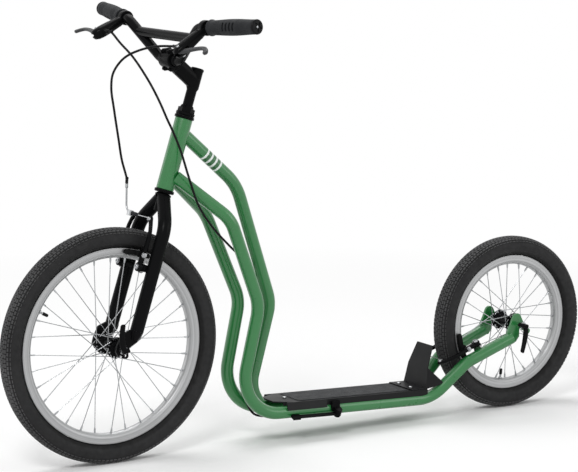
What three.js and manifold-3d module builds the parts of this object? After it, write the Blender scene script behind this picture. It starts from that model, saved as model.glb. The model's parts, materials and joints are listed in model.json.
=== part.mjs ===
// Adult kick scooter: a large front wheel and a smaller rear wheel on a bent-tube frame, with a low
// footboard, a riser handlebar, rim brakes on both wheels and a folding side stand.
// Millimetres. The scooter faces -X, the rider's left is -Y, up is +Z and the floor is Z = 0.
import * as THREE from 'three';
import { mergeVertices } from 'three/addons/utils/BufferGeometryUtils.js';
import Module from 'manifold-3d';

const wasm = await Module();
wasm.setup();

// Clearances
const seatGap = 0.3;
const runningGap = 0.4;
const overrun = 2;

// Wheels
const wheelbase = 1055;
const frontTyreRadius = 253;
const rearTyreRadius = 203;
const tyreWidth = 49;
const tyreWall = 4;
const frontRimRadius = 211;
const rearRimRadius = 159;
const rimWidth = 26;
const rimDepth = 22;
const rimWellDepth = 6;
const rimWellWidth = 17;
const frontSpokeCount = 32;
const rearSpokeCount = 28;
const spokeCrossings = 3;
const spokeRadius = 1;
const flangeRadius = 23;
const flangeHoleInset = 4;
const flangeThickness = 5;
const flangeSpread = 28;
const hubBarrelRadius = 12;
const hubHalfLength = 43;
const hubEndRadius = 11;
const hubBoreRadius = 5;
const valveRadius = 3;
const valveLength = 34;
const valveCapLength = 14;
const valveCapRadius = 4;
const frontValveSpoke = 13;
const rearValveSpoke = 20;

// Axles and quick releases
const axleRadius = 4.5;
const lockNutRadius = 8.5;
const lockNutWidth = 6;
const dropoutSpacing = 100;
const dropoutThickness = 6;
const skewerNutRadius = 9;
const skewerNutWidth = 10;
const camRadius = 8.5;
const camWidth = 9;
const releaseLeverLength = 62;
const releaseLeverWidth = 16;
const releaseLeverThickness = 6;
const releaseLeverBow = 12;
const frontReleaseAngle = 7;
const rearReleaseAngle = 190;

// Steering geometry, measured along and across the steering axis
const steeringLean = 17.5;
const forkOffset = 27.7;
const headTubeBottom = 349.5;
const headTubeLength = 156;
const headTubeRadius = 19;
const headTubeWall = 3.5;
const cupRadius = 21.5;
const cupHeight = 7.5;
const cupSkirt = 9;
const cupBore = 13.4;
const crownRaceHeight = 6;
const crownRaceRadius = 17.5;
const topRaceHeight = 6;
const topRaceRadius = 20.5;
const lockingNutHeight = 9;
const lockingNutRadius = 18.5;
const lockingNutCone = 6;
const steererRadius = 12.7;
const quillRadius = 11.1;
const quillRoom = 8;
const steererStub = 34;
const steererThread = 15;

// Fork
const forkLegRadius = 14.5;
const forkLegSpread = 55;
const forkLegAdvance = 6.7;
const forkLegBottom = 46;
const forkShoulder = 273;
const forkShoulderBend = 62;
const forkTopSpread = 5;
const forkEyeletRadius = 3;

// Frame tubes: places behind the front axle, heights above the floor, half spreads
const frameTubeRadius = 14;
const frameTubeSides = 10;
const sideJointRise = 36;
const sideJointSpread = 9.6;
const sidePinch = 62;
const sideShoulderReach = 263;
const sideShoulderHeight = 511;
const sideShoulderSpread = 54;
const sideKneeReach = 343.5;
const sideKneeHeight = 314;
const sideKneeSpread = 42;
const sideToeReach = 290.5;
const sideToeHeight = 71.2;
const lowRunSpread = 37.5;
const sideShoulderBend = 80;
const sideKneeBend = 85;
const sideToeBend = 90;
const upperJointDrop = 28;
const upperShoulderReach = 308.2;
const upperShoulderHeight = 578;
const upperKneeReach = 397.5;
const upperKneeHeight = 309;
const upperToeReach = 347.6;
const upperToeHeight = 126;
const upperShoulderBend = 120;
const upperKneeBend = 80;
const upperToeBend = 70;
const frontBridgeReach = 377.5;
const frontBridgeHeight = 71;
const frontBridgeRadius = 11;

// Rear stays: places ahead of the rear axle
const stayHeelReach = 241.5;
const stayHeelHeight = 52.3;
const stayElbowReach = 152;
const stayElbowHeight = 129.5;
const stayElbowSpread = 50.5;
const stayEndReach = 27;
const stayEndHeight = 175;
const stayEndSpread = 54.5;
const stayHeelBend = 90;
const stayElbowBend = 60;

// Rear dropout plate
const dropoutEyeletRadius = 3;

// Footboard and heel guard
const deckHalfWidth = 48;
const deckRise = 9.3;
const deckPlate = 3;
const deckLip = 2.5;
const deckFrontReach = 391;
const deckRearReach = 260;
const deckNoseLength = 46;
const deckNoseHalfWidth = 24;
const deckRibHalfWidth = 3;
const treadPanelRise = 0.6;
const treadPanelInset = 5;
const deepLipLength = 104;
const deepLipStart = 22;
const deepLipFlare = 5.5;
const deepLipDrop = 17;
const rivetRadius = 5;
const rivetRise = 2;
const frontRivetInset = 45;
const rearRivetInset = 32;
const rearRivetSpread = 24;
const guardFootLength = 44;
const guardPlate = 2.5;
const guardHeight = 97;
const guardMiddleHeight = 49;
const guardMiddleBack = 5;
const guardTopBack = 22;
const guardTopHalfWidth = 30;
const guardFootHalfWidth = 46;
const guardWingBack = 45;
const guardWingRise = 11;
const guardWingHalfWidth = 50;

// Stem
const stemBarrelRadius = 13.5;
const stemBarrelBottom = 568;
const stemBarrelTop = 611;
const stemCapRadius = 14.5;
const stemCapHeight = 6;
const quillDepth = 70;
const stemArmHeight = 35;
const stemArmWidth = 26;
const stemArmDrop = 30;
const clampAdvance = 69.6;
const clampRise = 616.9;
const clampRadius = 19;
const clampWidth = 42;
const clampSplit = 1;
const clampBoltRadius = 3.6;
const clampBoltHead = 4;
const clampBoltSpread = 13;

// Handlebar
const barRadius = 11.1;
const barSleeveRadius = 12.7;
const barSleeveHalf = 30;
const barFlatHalf = 38;
const barBendSpread = 150;
const barBendAdvance = 110;
const barBendRise = 684;
const barEndSpread = 326;
const barEndAdvance = 84.7;
const barEndRise = 705;
const barBend = 40;
const crossbarRadius = 9.5;
const crossbarSpread = 115;
const gripLength = 138;
const gripRadius = 15.2;
const gripBelly = 17;
const gripFlangeRadius = 18.5;
const gripFlangeWidth = 4;
const gripSlotCount = 4;
const gripSlotPitch = 9;
const gripSlotWidth = 3.5;
const gripSlotDepth = 1.6;
const gripSlotHeight = 16;
const gripSlotStart = 52;
const plugRadius = 15.5;
const plugRim = 5;
const plugRecess = 2;

// Brake levers
const leverSeat = 173;
const leftLeverTilt = 55;
const rightLeverTilt = 42;
const leftBladeRest = 8;
const rightBladeRest = 2;
const leverReach = 75;
const leverClampRadius = 16;
const leverClampWidth = 15;
const leverBodyWidth = 17;
const leverBodyThickness = 15;
const leverPinRadius = 3;
const leverEyeRadius = 9;
const bladeThickness = 6.4;
const bladeLength = 92;
const bladeWidth = 12;
const barrelLength = 26;
const barrelRadius = 5;
const barrelSetback = 11;

// Rim brakes, alike on both wheels
const brakeArmAdvance = 7;
const brakePivotSpread = 42;
const brakePivotDrop = 27;
const brakeArmLength = 105;
const brakeArmThickness = 11;
const brakeEyeRadius = 9;
const brakeStudRadius = 4;
const brakeBoltRadius = 6.5;
const brakeBoltHead = 4;
const brakeTipSpread = 37;
const brakeArmHalfWidth = 7.5;
const brakeTrackInset = 6.5;
const padGap = 2;
const padLength = 62;
const padHeight = 11;
const padThickness = 9;
const padPostRadius = 5;
const padWasherRadius = 7;
const noodleRadius = 2.4;
const noodleBend = 18;
const noodleLift = 40;
const noodleLean = 17;
const rearNoodleLift = 8;
const linkWidth = 9;
const bootLength = 26;
const bootRadius = 4.5;
const wireRadius = 0.9;
const wireTail = 12;
const rearBrakeAngle = 19.5;

// Side stand
const standPivotSetback = 149;
const standPivotSide = 59;
const standPivotHeight = 53;
const standBossRadius = 8.5;
const standBossHeight = 9;
const standPlate = 5;
const standTipForward = 118;
const standTipInward = 1;
const standTipRise = 5;
const standOpenOut = 107;
const standOpenForward = 20;
const standArmRadius = 5;
const standEyeRadius = 8.5;
const standEyeHeight = 7;
const standBoltRadius = 3.5;
const standFootLength = 16;

// Cables
const cableRadius = 2.5;
const frontCableSteps = 22;
const rearUpperSteps = 12;
const rearLowerSteps = 34;

// Finishes
const finish = (color, roughness, metalness) => () => new THREE.MeshStandardMaterial(
  { color, roughness, metalness });
const greenPaint = finish(0x3a8650, 0.35, 0.1);
const blackPaint = finish(0x17181a, 0.4, 0.2);
const charcoal = finish(0x3b3c40, 0.6, 0.1);
const polished = finish(0xb9bcc0, 0.3, 0.9);
const steel = finish(0xa4a7ab, 0.35, 0.9);
const tyreRubber = finish(0x2c2c2d, 0.85, 0);
const gripRubber = finish(0x2f3033, 0.8, 0);
const plastic = finish(0x1b1b1d, 0.55, 0);

// Degrees to radians
const turn = THREE.MathUtils.degToRad;

// A closed geometry with shared corners, no empty triangles and its faces pointing out
function closed(source) {
  const shape = source.clone();
  shape.deleteAttribute('normal');
  shape.deleteAttribute('uv');
  const merged = mergeVertices(shape, 1e-4);
  const place = merged.getAttribute('position');
  const corner = (i) => new THREE.Vector3().fromBufferAttribute(place, i);
  const order = [];
  let volume = 0;
  for (let i = 0; i < merged.index.count; i += 3) {
    const [a, b, c] = [0, 1, 2].map((k) => merged.index.getX(i + k));
    if (a === b || b === c || c === a) continue;
    order.push(a, b, c);
    volume += corner(a).dot(corner(b).cross(corner(c)));
  }
  if (volume < 0) order.reverse();
  merged.setIndex(order);
  return merged;
}

// Joins and cuts
function solidOf(source) {
  const shape = closed(source);
  const vertProperties = new Float32Array(shape.getAttribute('position').array);
  const triVerts = new Uint32Array(shape.index.array);
  return new wasm.Manifold(new wasm.Mesh({ numProp: 3, vertProperties, triVerts }));
}

function geometryOf(solid) {
  const mesh = solid.getMesh();
  const shape = new THREE.BufferGeometry();
  shape.setAttribute('position', new THREE.BufferAttribute(new Float32Array(mesh.vertProperties), 3));
  shape.setIndex(new THREE.BufferAttribute(new Uint32Array(mesh.triVerts), 1));
  return shape;
}

const joined = (...shapes) => geometryOf(shapes.map(solidOf).reduce((a, b) => a.add(b)));
const without = (shape, ...tools) => geometryOf(
  tools.map(solidOf).reduce((rest, tool) => rest.subtract(tool), solidOf(shape)));

// A block between two corners
function block(low, high) {
  const size = high.map((value, i) => value - low[i]);
  const shape = new THREE.BoxGeometry(...size);
  return shape.translate(...low.map((value, i) => value + size[i] / 2));
}

// A shape turned about the Y axis from [radius, y] corners
function turnedAboutY(corners, segments) {
  return new THREE.LatheGeometry(corners.map(([r, y]) => new THREE.Vector2(r, y)), segments);
}

// The same about the Z axis, from [radius, z] corners
const turnedAboutZ = (corners, segments) => turnedAboutY(corners, segments).rotateX(Math.PI / 2);

// A ring about the Z axis from inner and outer radii and two heights
function ring(inner, outer, bottom, top, segments) {
  const corners = [[inner, bottom], [outer, bottom], [outer, top], [inner, top], [inner, bottom]];
  return turnedAboutZ(corners, segments);
}

// A flat plate: an outline of [x, z] points with holes, standing in the XZ plane from y = low to high
function sidePlate(outline, low, high, holes = []) {
  const shape = new THREE.Shape(outline.map(([x, z]) => new THREE.Vector2(x, z)));
  for (const hole of holes) shape.holes.push(new THREE.Path(hole.map(([x, z]) => new THREE.Vector2(x, z))));
  const plate = new THREE.ExtrudeGeometry(shape, { depth: high - low, bevelEnabled: false, steps: 1 });
  return plate.rotateX(Math.PI / 2).translate(0, high, 0);
}

// A plate in the YZ plane from [y, z] points, from x = low to high
function frontPlate(outline, low, high) {
  const shape = new THREE.Shape(outline.map(([y, z]) => new THREE.Vector2(y, z)));
  const plate = new THREE.ExtrudeGeometry(shape, { depth: high - low, bevelEnabled: false, steps: 1 });
  const basis = new THREE.Matrix4().makeBasis(
    new THREE.Vector3(0, 1, 0), new THREE.Vector3(0, 0, 1), new THREE.Vector3(1, 0, 0));
  return plate.applyMatrix4(basis).translate(low, 0, 0);
}

// A plate in the XY plane from [x, y] points, from z = low to high
function levelPlate(outline, low, high, holes = []) {
  const shape = new THREE.Shape(outline.map(([x, y]) => new THREE.Vector2(x, y)));
  for (const hole of holes) shape.holes.push(new THREE.Path(hole.map(([x, y]) => new THREE.Vector2(x, y))));
  const raised = new THREE.ExtrudeGeometry(shape, { depth: high - low, bevelEnabled: false, steps: 1 });
  return raised.translate(0, 0, low);
}

// Points round a circle, also part of one, from angle to angle in degrees
function arc(x, z, radius, from, to, steps) {
  const points = [];
  for (let i = 0; i <= steps; i += 1) {
    const angle = turn(from + (to - from) * i / steps);
    points.push([x + radius * Math.cos(angle), z + radius * Math.sin(angle)]);
  }
  return points;
}

const circle = (x, z, radius, sides) => arc(x, z, radius, 0, 360, sides).slice(1);

// A round bar between two points
function rod(start, end, radius, sides) {
  const along = new THREE.Vector3().subVectors(end, start);
  const shape = new THREE.CylinderGeometry(radius, radius, along.length(), sides);
  const straightUp = new THREE.Vector3(0, 1, 0);
  const facing = new THREE.Quaternion().setFromUnitVectors(straightUp, along.clone().normalize());
  const middle = new THREE.Vector3().addVectors(start, end).multiplyScalar(1 / 2);
  return shape.applyQuaternion(facing).translate(middle.x, middle.y, middle.z);
}

// A path through chosen stations, straight from one to the next, each with its own direction
class StationPath extends THREE.Curve {
  constructor(stations) {
    super();
    this.stations = stations;
  }

  between(t, key) {
    const place = t * (this.stations.length - 1);
    const index = Math.min(Math.floor(place), this.stations.length - 2);
    return this.stations[index][key].clone().lerp(this.stations[index + 1][key], place - index);
  }

  getPoint(t, target = new THREE.Vector3()) {
    return target.copy(this.between(t, 'point'));
  }

  getPointAt(u, target) {
    return this.getPoint(u, target);
  }

  getTangentAt(u, target = new THREE.Vector3()) {
    return target.copy(this.between(u, 'heading')).normalize();
  }
}

// Stations of a bent tube: straight between the corners, with a round bend of its own radius at each
function bentStations(corners, bends, stepAngle) {
  const stations = [];
  const add = (point, heading) => stations.push({ point, heading });
  const headings = corners.slice(1).map(
    (corner, i) => new THREE.Vector3().subVectors(corner, corners[i]).normalize());
  add(corners[0], headings[0]);
  for (let i = 1; i < corners.length - 1; i += 1) {
    const [into, out] = [headings[i - 1], headings[i]];
    const angle = into.angleTo(out);
    const axis = new THREE.Vector3().crossVectors(into, out).normalize();
    const tangent = bends[i - 1] * Math.tan(angle / 2);
    const start = corners[i].clone().addScaledVector(into, -tangent);
    const centre = start.clone().addScaledVector(new THREE.Vector3().crossVectors(axis, into), bends[i - 1]);
    const steps = Math.max(1, Math.ceil(angle / turn(stepAngle)));
    for (let k = 0; k <= steps; k += 1) {
      const swing = new THREE.Quaternion().setFromAxisAngle(axis, angle * k / steps);
      const point = start.clone().sub(centre).applyQuaternion(swing).add(centre);
      add(point, into.clone().applyQuaternion(swing));
    }
  }
  add(corners[corners.length - 1], headings[headings.length - 1]);
  return stations;
}

// A round tube, solid inside, along stations
function tube(stations, radius, sides) {
  const section = new THREE.Shape(circle(0, 0, radius, sides).map(([x, y]) => new THREE.Vector2(x, y)));
  const extrudePath = new StationPath(stations);
  return new THREE.ExtrudeGeometry(section,
    { steps: stations.length - 1, extrudePath, bevelEnabled: false });
}

const bentTube = (corners, bends, radius, sides, stepAngle = 22) =>
  tube(bentStations(corners, bends, stepAngle), radius, sides);

// A cable along a smooth route through its points
function cable(points, radius, steps) {
  const places = points.map((point) => new THREE.Vector3(...point));
  const route = new THREE.CatmullRomCurve3(places, false, 'centripetal');
  const section = new THREE.Shape(circle(0, 0, radius, 6).map(([x, y]) => new THREE.Vector2(x, y)));
  return new THREE.ExtrudeGeometry(section, { steps, extrudePath: route, bevelEnabled: false });
}

const parts = new THREE.Group();
const vector = (x, y, z) => new THREE.Vector3(x, y, z);

// Adds a named piece to a group
function piece(name, shape, material, group = parts) {
  const mesh = new THREE.Mesh(closed(shape), material());
  mesh.name = name;
  group.add(mesh);
  return mesh;
}

// Axles
const frontAxle = vector(-wheelbase / 2 + (frontTyreRadius - rearTyreRadius) / 2, 0, frontTyreRadius);
const rearAxle = vector(frontAxle.x + wheelbase, 0, rearTyreRadius);

// The steering frame: Z runs up the steering axis, -X looks forward, the front axle lies at z = 0
const leanAngle = turn(steeringLean);
const steering = new THREE.Group();
steering.position.copy(frontAxle);
steering.position.add(vector(forkOffset * Math.cos(leanAngle), 0, -forkOffset * Math.sin(leanAngle)));
steering.rotation.y = leanAngle;
steering.updateMatrixWorld();
parts.add(steering);
const fromSteering = (x, y, z) => steering.localToWorld(vector(x, y, z));
const headTubeTop = headTubeBottom + headTubeLength;

// Wheels, each built about its own axle in a group
function wheelGroup(centre) {
  const group = new THREE.Group();
  group.position.copy(centre);
  parts.add(group);
  return group;
}

function tyreShape(tyreRadius, rimRadius, segments) {
  const half = tyreWidth / 2;
  const height = tyreRadius - rimRadius;
  const outerShares = [[0.36, 0], [1, 0.5], [0.7, 0.91], [0, 1]];
  const beadRadius = rimRadius + seatGap;
  const outer = outerShares.map(([w, h]) => [beadRadius + (tyreRadius - beadRadius) * h, half * w]);
  const innerShares = [[0, 1], [0.74, 0.62], [0.3, 0]];
  const inner = innerShares.map(([w, h]) => [
    beadRadius + (height - tyreWall) * h, (half - tyreWall) * w]);
  const right = [...outer.slice(0, -1)];
  const left = right.map(([r, y]) => [r, -y]).reverse();
  const innerRight = inner.slice(1).map(([r, y]) => [r, y]);
  const innerLeft = innerRight.map(([r, y]) => [r, -y]).reverse();
  const loop = [...right, [tyreRadius, 0], ...left,
    ...innerLeft, [beadRadius + height - tyreWall, 0], ...innerRight];
  return turnedAboutY([...loop, loop[0]], segments);
}

function rimShape(rimRadius, segments) {
  const half = rimWidth / 2;
  const well = rimWellWidth / 2;
  const inner = rimRadius - rimDepth;
  const nose = rimWidth / 6;
  const shoulder = rimDepth / 3;
  const right = [[inner, nose], [inner + shoulder, half], [rimRadius, half], [rimRadius, well],
    [rimRadius - rimWellDepth, well - rimWellDepth / 2]];
  const left = right.map(([r, y]) => [r, -y]).reverse();
  return turnedAboutY([...right, ...left, right[0]], segments);
}

// A laced hub: the spokes of each flange leave it both ways and cross their neighbours
function lacedHub(rimRadius, count) {
  const inFlange = flangeSpread - flangeThickness;
  const right = [[hubBoreRadius, hubHalfLength], [hubEndRadius, hubHalfLength], [hubEndRadius, flangeSpread],
    [flangeRadius, flangeSpread], [flangeRadius, inFlange], [hubBarrelRadius, inFlange - flangeThickness]];
  const left = right.map(([r, y]) => [r, -y]).reverse();
  let hub = solidOf(turnedAboutY([...right, ...left, right[0]], 12));
  const holeRadius = flangeRadius - flangeHoleInset;
  const perFlange = count / 2;
  const perPair = perFlange / 2;
  const reach = rimRadius - rimDepth - seatGap;
  const lean = 360 / perFlange * spokeCrossings;
  for (const side of [-1, 1]) {
    for (let i = 0; i < perPair; i += 1) {
      for (const way of [-1, 1]) {
        const rimAngle = 360 / perPair * i + (way + 1) * 180 / perFlange + (side + 1) * 90 / perFlange;
        const hubAngle = turn(rimAngle - way * lean);
        const face = flangeSpread - flangeThickness / 2 + way * (flangeThickness / 2 - spokeRadius) * 0.95;
        const start = vector(holeRadius * Math.cos(hubAngle), side * face, holeRadius * Math.sin(hubAngle));
        const aim = turn(rimAngle);
        const end = vector(reach * Math.cos(aim), side * spokeRadius * 2, reach * Math.sin(aim));
        const back = vector(0, 0, 0).subVectors(start, end).normalize();
        hub = hub.add(solidOf(rod(start.clone().addScaledVector(back, spokeRadius), end, spokeRadius, 3)));
      }
    }
  }
  return geometryOf(hub);
}

// A valve standing in from the rim towards the hub, with its cap
function valveShape(rimRadius, angle, facet) {
  const outer = (rimRadius - rimDepth) * Math.cos(facet / 2) - seatGap;
  const capStart = outer - valveLength + valveCapLength;
  const stem = turnedAboutZ([[0, capStart], [valveRadius, capStart], [valveRadius, outer], [0, outer]], 8);
  const cap = turnedAboutZ([[0, outer - valveLength], [valveCapRadius * 0.8, outer - valveLength],
    [valveCapRadius, capStart - valveCapLength / 2], [valveCapRadius, capStart], [0, capStart]], 8);
  return joined(stem, cap).rotateY(Math.PI / 2 - angle);
}

function addWheel(name, centre, tyreRadius, rimRadius, spokeCount, valveSpoke) {
  const group = wheelGroup(centre);
  const facet = turn(360) / spokeCount;
  piece(`${name}_tyre`, tyreShape(tyreRadius, rimRadius, spokeCount), tyreRubber, group);
  piece(`${name}_rim`, rimShape(rimRadius, spokeCount), polished, group);
  piece(`${name}_hub_and_spokes`, lacedHub(rimRadius, spokeCount), steel, group);
  piece(`${name}_valve`, valveShape(rimRadius, (valveSpoke + 1 / 2) * facet, facet), plastic, group);
}

addWheel('front', frontAxle, frontTyreRadius, frontRimRadius, frontSpokeCount, frontValveSpoke);
addWheel('rear', rearAxle, rearTyreRadius, rearRimRadius, rearSpokeCount, rearValveSpoke);

// Axles with their locknuts, the quick release's cam housing on the left and its nut on the right
const dropoutInner = dropoutSpacing / 2;
const dropoutOuter = dropoutInner + dropoutThickness;

function axleShape() {
  const nutStart = dropoutInner - lockNutWidth;
  const faceY = dropoutOuter + seatGap;
  const lockFace = dropoutInner - seatGap;
  const camEnd = faceY + camWidth;
  const nutEnd = faceY + skewerNutWidth;
  return turnedAboutY([[0, -camEnd], [camRadius, -camEnd], [camRadius, -faceY], [axleRadius, -faceY],
    [axleRadius, -lockFace], [lockNutRadius, -lockFace], [lockNutRadius, -nutStart], [axleRadius, -nutStart],
    [axleRadius, nutStart], [lockNutRadius, nutStart], [lockNutRadius, lockFace], [axleRadius, lockFace],
    [axleRadius, faceY], [skewerNutRadius, faceY], [skewerNutRadius * 0.7, nutEnd], [0, nutEnd]], 10);
}

const releaseBarrel = releaseLeverThickness * 0.8;
const releasePivot = dropoutOuter + seatGap + camWidth + seatGap + releaseBarrel;

// A quick release lever: a cross barrel beside the cam housing and a bowed blade, built pointing up
function releaseLeverShape() {
  const w = releaseLeverWidth / 2;
  const half = releaseLeverThickness / 2;
  const outer = [];
  const inner = [];
  const steps = 5;
  for (let i = 0; i <= steps; i += 1) {
    const share = i / steps;
    const y = releasePivot + releaseLeverBow * share * share;
    outer.push([-(y + half), releaseLeverLength * share]);
    inner.push([-(y - half + half * share), releaseLeverLength * share]);
  }
  const blade = frontPlate([...outer, ...inner.reverse()], -w * 0.85, w * 0.85);
  return joined(rod(vector(-w, -releasePivot, 0), vector(w, -releasePivot, 0), releaseBarrel, 10), blade);
}

piece('rear_axle', axleShape(), steel).position.copy(rearAxle);
const rearRelease = piece('rear_release_lever', releaseLeverShape(), blackPaint);
rearRelease.position.copy(rearAxle);
rearRelease.rotation.y = turn(rearReleaseAngle);
piece('front_axle', axleShape(), steel).position.copy(frontAxle);
const frontRelease = piece('front_release_lever', releaseLeverShape(), blackPaint);
frontRelease.position.copy(frontAxle);
frontRelease.rotation.y = turn(-frontReleaseAngle);

// Head tube and headset
const headBore = headTubeRadius - headTubeWall;
piece('head_tube', ring(headBore, headTubeRadius, headTubeBottom, headTubeTop, 20), greenPaint, steering);

function cupShape(face, way) {
  const lip = face + way * seatGap;
  const end = face + way * cupHeight;
  const skirt = face - way * cupSkirt;
  const skirtRadius = headBore - seatGap;
  const corners = [[cupBore, skirt], [skirtRadius, skirt], [skirtRadius, lip], [cupRadius, lip],
    [cupRadius - cupHeight / 6, end], [cupBore, end], [cupBore, skirt]];
  return turnedAboutZ(corners, 16);
}

piece('lower_headset_cup', cupShape(headTubeBottom, -1), blackPaint, steering);
piece('upper_headset_cup', cupShape(headTubeTop, 1), blackPaint, steering);

const crownRaceTop = headTubeBottom - cupHeight - runningGap;
const crownTop = crownRaceTop - crownRaceHeight;
const raceBore = steererRadius + seatGap;
const crownRace = turnedAboutZ([[raceBore, crownTop + seatGap], [crownRaceRadius, crownTop + seatGap],
  [crownRaceRadius, crownTop + crownRaceHeight / 2], [raceBore + seatGap, crownRaceTop],
  [raceBore, crownRaceTop], [raceBore, crownTop + seatGap]], 16);
piece('crown_race', crownRace, blackPaint, steering);

const topRaceBottom = headTubeTop + cupHeight + runningGap;
const topRaceTop = topRaceBottom + topRaceHeight;
piece('top_race', ring(raceBore, topRaceRadius, topRaceBottom, topRaceTop, 16), blackPaint, steering);

// The locking nut: six flats below, a cone above that closes on the quill
const steererTop = headTubeTop + steererThread;
const nutBottom = topRaceTop + seatGap;
const nutTop = nutBottom + lockingNutHeight;
const quillBore = quillRadius + seatGap;
const nutBody = without(
  joined(
    turnedAboutZ([[0, nutBottom], [lockingNutRadius, nutBottom],
      [lockingNutRadius, nutTop], [0, nutTop]], 6),
    turnedAboutZ([[0, nutTop], [headBore, nutTop], [steererRadius, nutTop + lockingNutCone],
      [0, nutTop + lockingNutCone]], 16)),
  turnedAboutZ([[0, nutBottom - overrun], [raceBore, nutBottom - overrun], [raceBore, steererTop + seatGap],
    [quillBore, steererTop + seatGap], [quillBore, nutTop + lockingNutCone + overrun],
    [0, nutTop + lockingNutCone + overrun]], 16));
piece('locking_nut', nutBody, blackPaint, steering);

// The steerer runs from the fork crown up through the headset, open for the quill above
const steererBottom = crownTop - steererStub;
const steererFloor = headTubeTop - quillDepth - quillRoom;
piece('steerer_tube', turnedAboutZ([[0, steererBottom], [steererRadius, steererBottom],
  [steererRadius, steererTop], [quillBore, steererTop], [quillBore, steererFloor], [0, steererFloor]], 16),
blackPaint, steering);

// Rim brake places, in a frame with its origin at the axle and Z towards the brake arms' tips
const frontTrack = frontRimRadius - brakeTrackInset;
const rearTrack = rearRimRadius - brakeTrackInset;
const armBack = brakeArmAdvance - brakeArmThickness / 2;
const armFront = brakeArmAdvance + brakeArmThickness / 2;

// Boss, stud and bolt that carry a brake arm, from a tube's centre line at x = tubeX
function brakeBoss(track, side, tubeX) {
  const y = side * brakePivotSpread;
  const z = track - brakePivotDrop;
  const boltStart = -(armFront + seatGap);
  const boss = rod(vector(tubeX, y, z), vector(-(armBack - seatGap), y, z), brakeStudRadius * 2, 10);
  const stud = rod(vector(tubeX, y, z), vector(boltStart - brakeBoltHead / 2, y, z), brakeStudRadius, 10);
  const bolt = rod(vector(boltStart, y, z), vector(boltStart - brakeBoltHead, y, z), brakeBoltRadius, 8);
  return joined(boss, stud, bolt);
}

// Fork legs: straight beside the wheel, then bent in to the steerer under the crown race
const legX = forkOffset - forkLegAdvance;

function forkLeg(side) {
  const corners = [vector(-forkLegAdvance, side * forkLegSpread, forkLegBottom),
    vector(-forkLegAdvance, side * forkLegSpread, forkShoulder),
    vector(0, side * forkTopSpread, crownTop + forkTopSpread)];
  const leg = joined(
    bentTube(corners, [forkShoulderBend], forkLegRadius, 12),
    brakeBoss(frontTrack, side, legX).translate(-forkOffset, 0, 0));
  const wide = forkLegSpread * 2;
  const above = block([-wide, -wide, crownTop], [wide, wide, crownTop + wide]);
  const across = block([-wide, Math.min(-side * wide, side * seatGap / 2), forkShoulder],
    [wide, Math.max(-side * wide, side * seatGap / 2), crownTop + wide]);
  const steererRoom = steererRadius + seatGap;
  const steererSpace = turnedAboutZ([[0, steererBottom - seatGap], [steererRoom, steererBottom - seatGap],
    [steererRoom, crownTop + wide], [0, crownTop + wide]], 20);
  return without(leg, above, across, steererSpace);
}

piece('left_fork_leg', forkLeg(-1), blackPaint, steering);
piece('right_fork_leg', forkLeg(1), blackPaint, steering);

// Fork end: a broad flat shoe under the leg, slotted for the axle, with an eyelet behind it
function forkEnd(side) {
  const axleX = -forkOffset;
  const legFront = -forkLegAdvance - forkLegRadius;
  const legBack = -forkLegAdvance + forkLegRadius;
  const slot = axleRadius + seatGap;
  const lobe = forkLegRadius;
  const top = forkLegBottom - seatGap;
  const eyeX = axleX + lobe * 0.8;
  const eyeZ = -lobe * 0.7;
  const outline = [[legFront, top], [axleX - lobe * 0.8, top - lobe], [axleX - lobe * 1.05, lobe * 0.5],
    [axleX - lobe, -lobe * 0.5], [axleX - slot, -lobe * 1.15], [axleX - slot, 0],
    ...arc(axleX, 0, slot, 180, 0, 6).slice(1), [axleX + slot, -lobe * 1.15],
    ...arc(eyeX, eyeZ, forkEyeletRadius * 2, -90, 40, 4), [legFront + lobe * 0.4, lobe * 0.45],
    [legBack - lobe * 0.5, top - lobe * 1.6], [legBack, top - lobe * 0.7], [legBack, top]];
  const low = Math.min(side * dropoutInner, side * dropoutOuter);
  const high = Math.max(side * dropoutInner, side * dropoutOuter);
  const plate = sidePlate(outline, low, high, [circle(eyeX, eyeZ, forkEyeletRadius, 8)]);
  const socket = turnedAboutZ([[0, top - lobe * 1.5],
    [lobe * 0.55, top - lobe * 1.4], [lobe * 0.9, top - lobe * 0.5],
    [lobe, top], [0, top]], 12).translate(-forkLegAdvance, side * forkLegSpread, 0);
  return joined(plate, socket);
}

piece('left_fork_end', forkEnd(-1), blackPaint, steering);
piece('right_fork_end', forkEnd(1), blackPaint, steering);

// Frame tubes
const reachPoint = (reach, y, z) => vector(frontAxle.x + reach, y, z);
const aheadPoint = (reach, y, z) => vector(rearAxle.x - reach, y, z);

// The space that the head tube and its headset fill, cut from what is welded to them
const headSpace = turnedAboutZ([[0, headTubeBottom - headTubeLength], [headTubeRadius + seatGap,
  headTubeBottom - headTubeLength], [headTubeRadius + seatGap, headTubeTop + headTubeLength],
[0, headTubeTop + headTubeLength]], 24).applyMatrix4(steering.matrixWorld);

// The stay's direction in the XZ plane, and the frame of the rear brake on it
const rearBrake = new THREE.Group();
const brakeTurn = turn(rearBrakeAngle);
rearBrake.applyMatrix4(new THREE.Matrix4().makeBasis(
  vector(Math.sin(brakeTurn), 0, -Math.cos(brakeTurn)), vector(0, -1, 0),
  vector(-Math.cos(brakeTurn), 0, -Math.sin(brakeTurn))).setPosition(rearAxle));
rearBrake.updateMatrixWorld();
parts.add(rearBrake);

// The depth, in the brake's frame, of the stay's centre line behind the brake arms
const stayDepth = (() => {
  const elbow = rearBrake.worldToLocal(aheadPoint(stayElbowReach, 0, stayElbowHeight));
  const end = rearBrake.worldToLocal(aheadPoint(stayEndReach, 0, stayEndHeight));
  const share = (rearTrack - brakePivotDrop - end.z) / (elbow.z - end.z);
  return end.x + (elbow.x - end.x) * share;
})();

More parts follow.
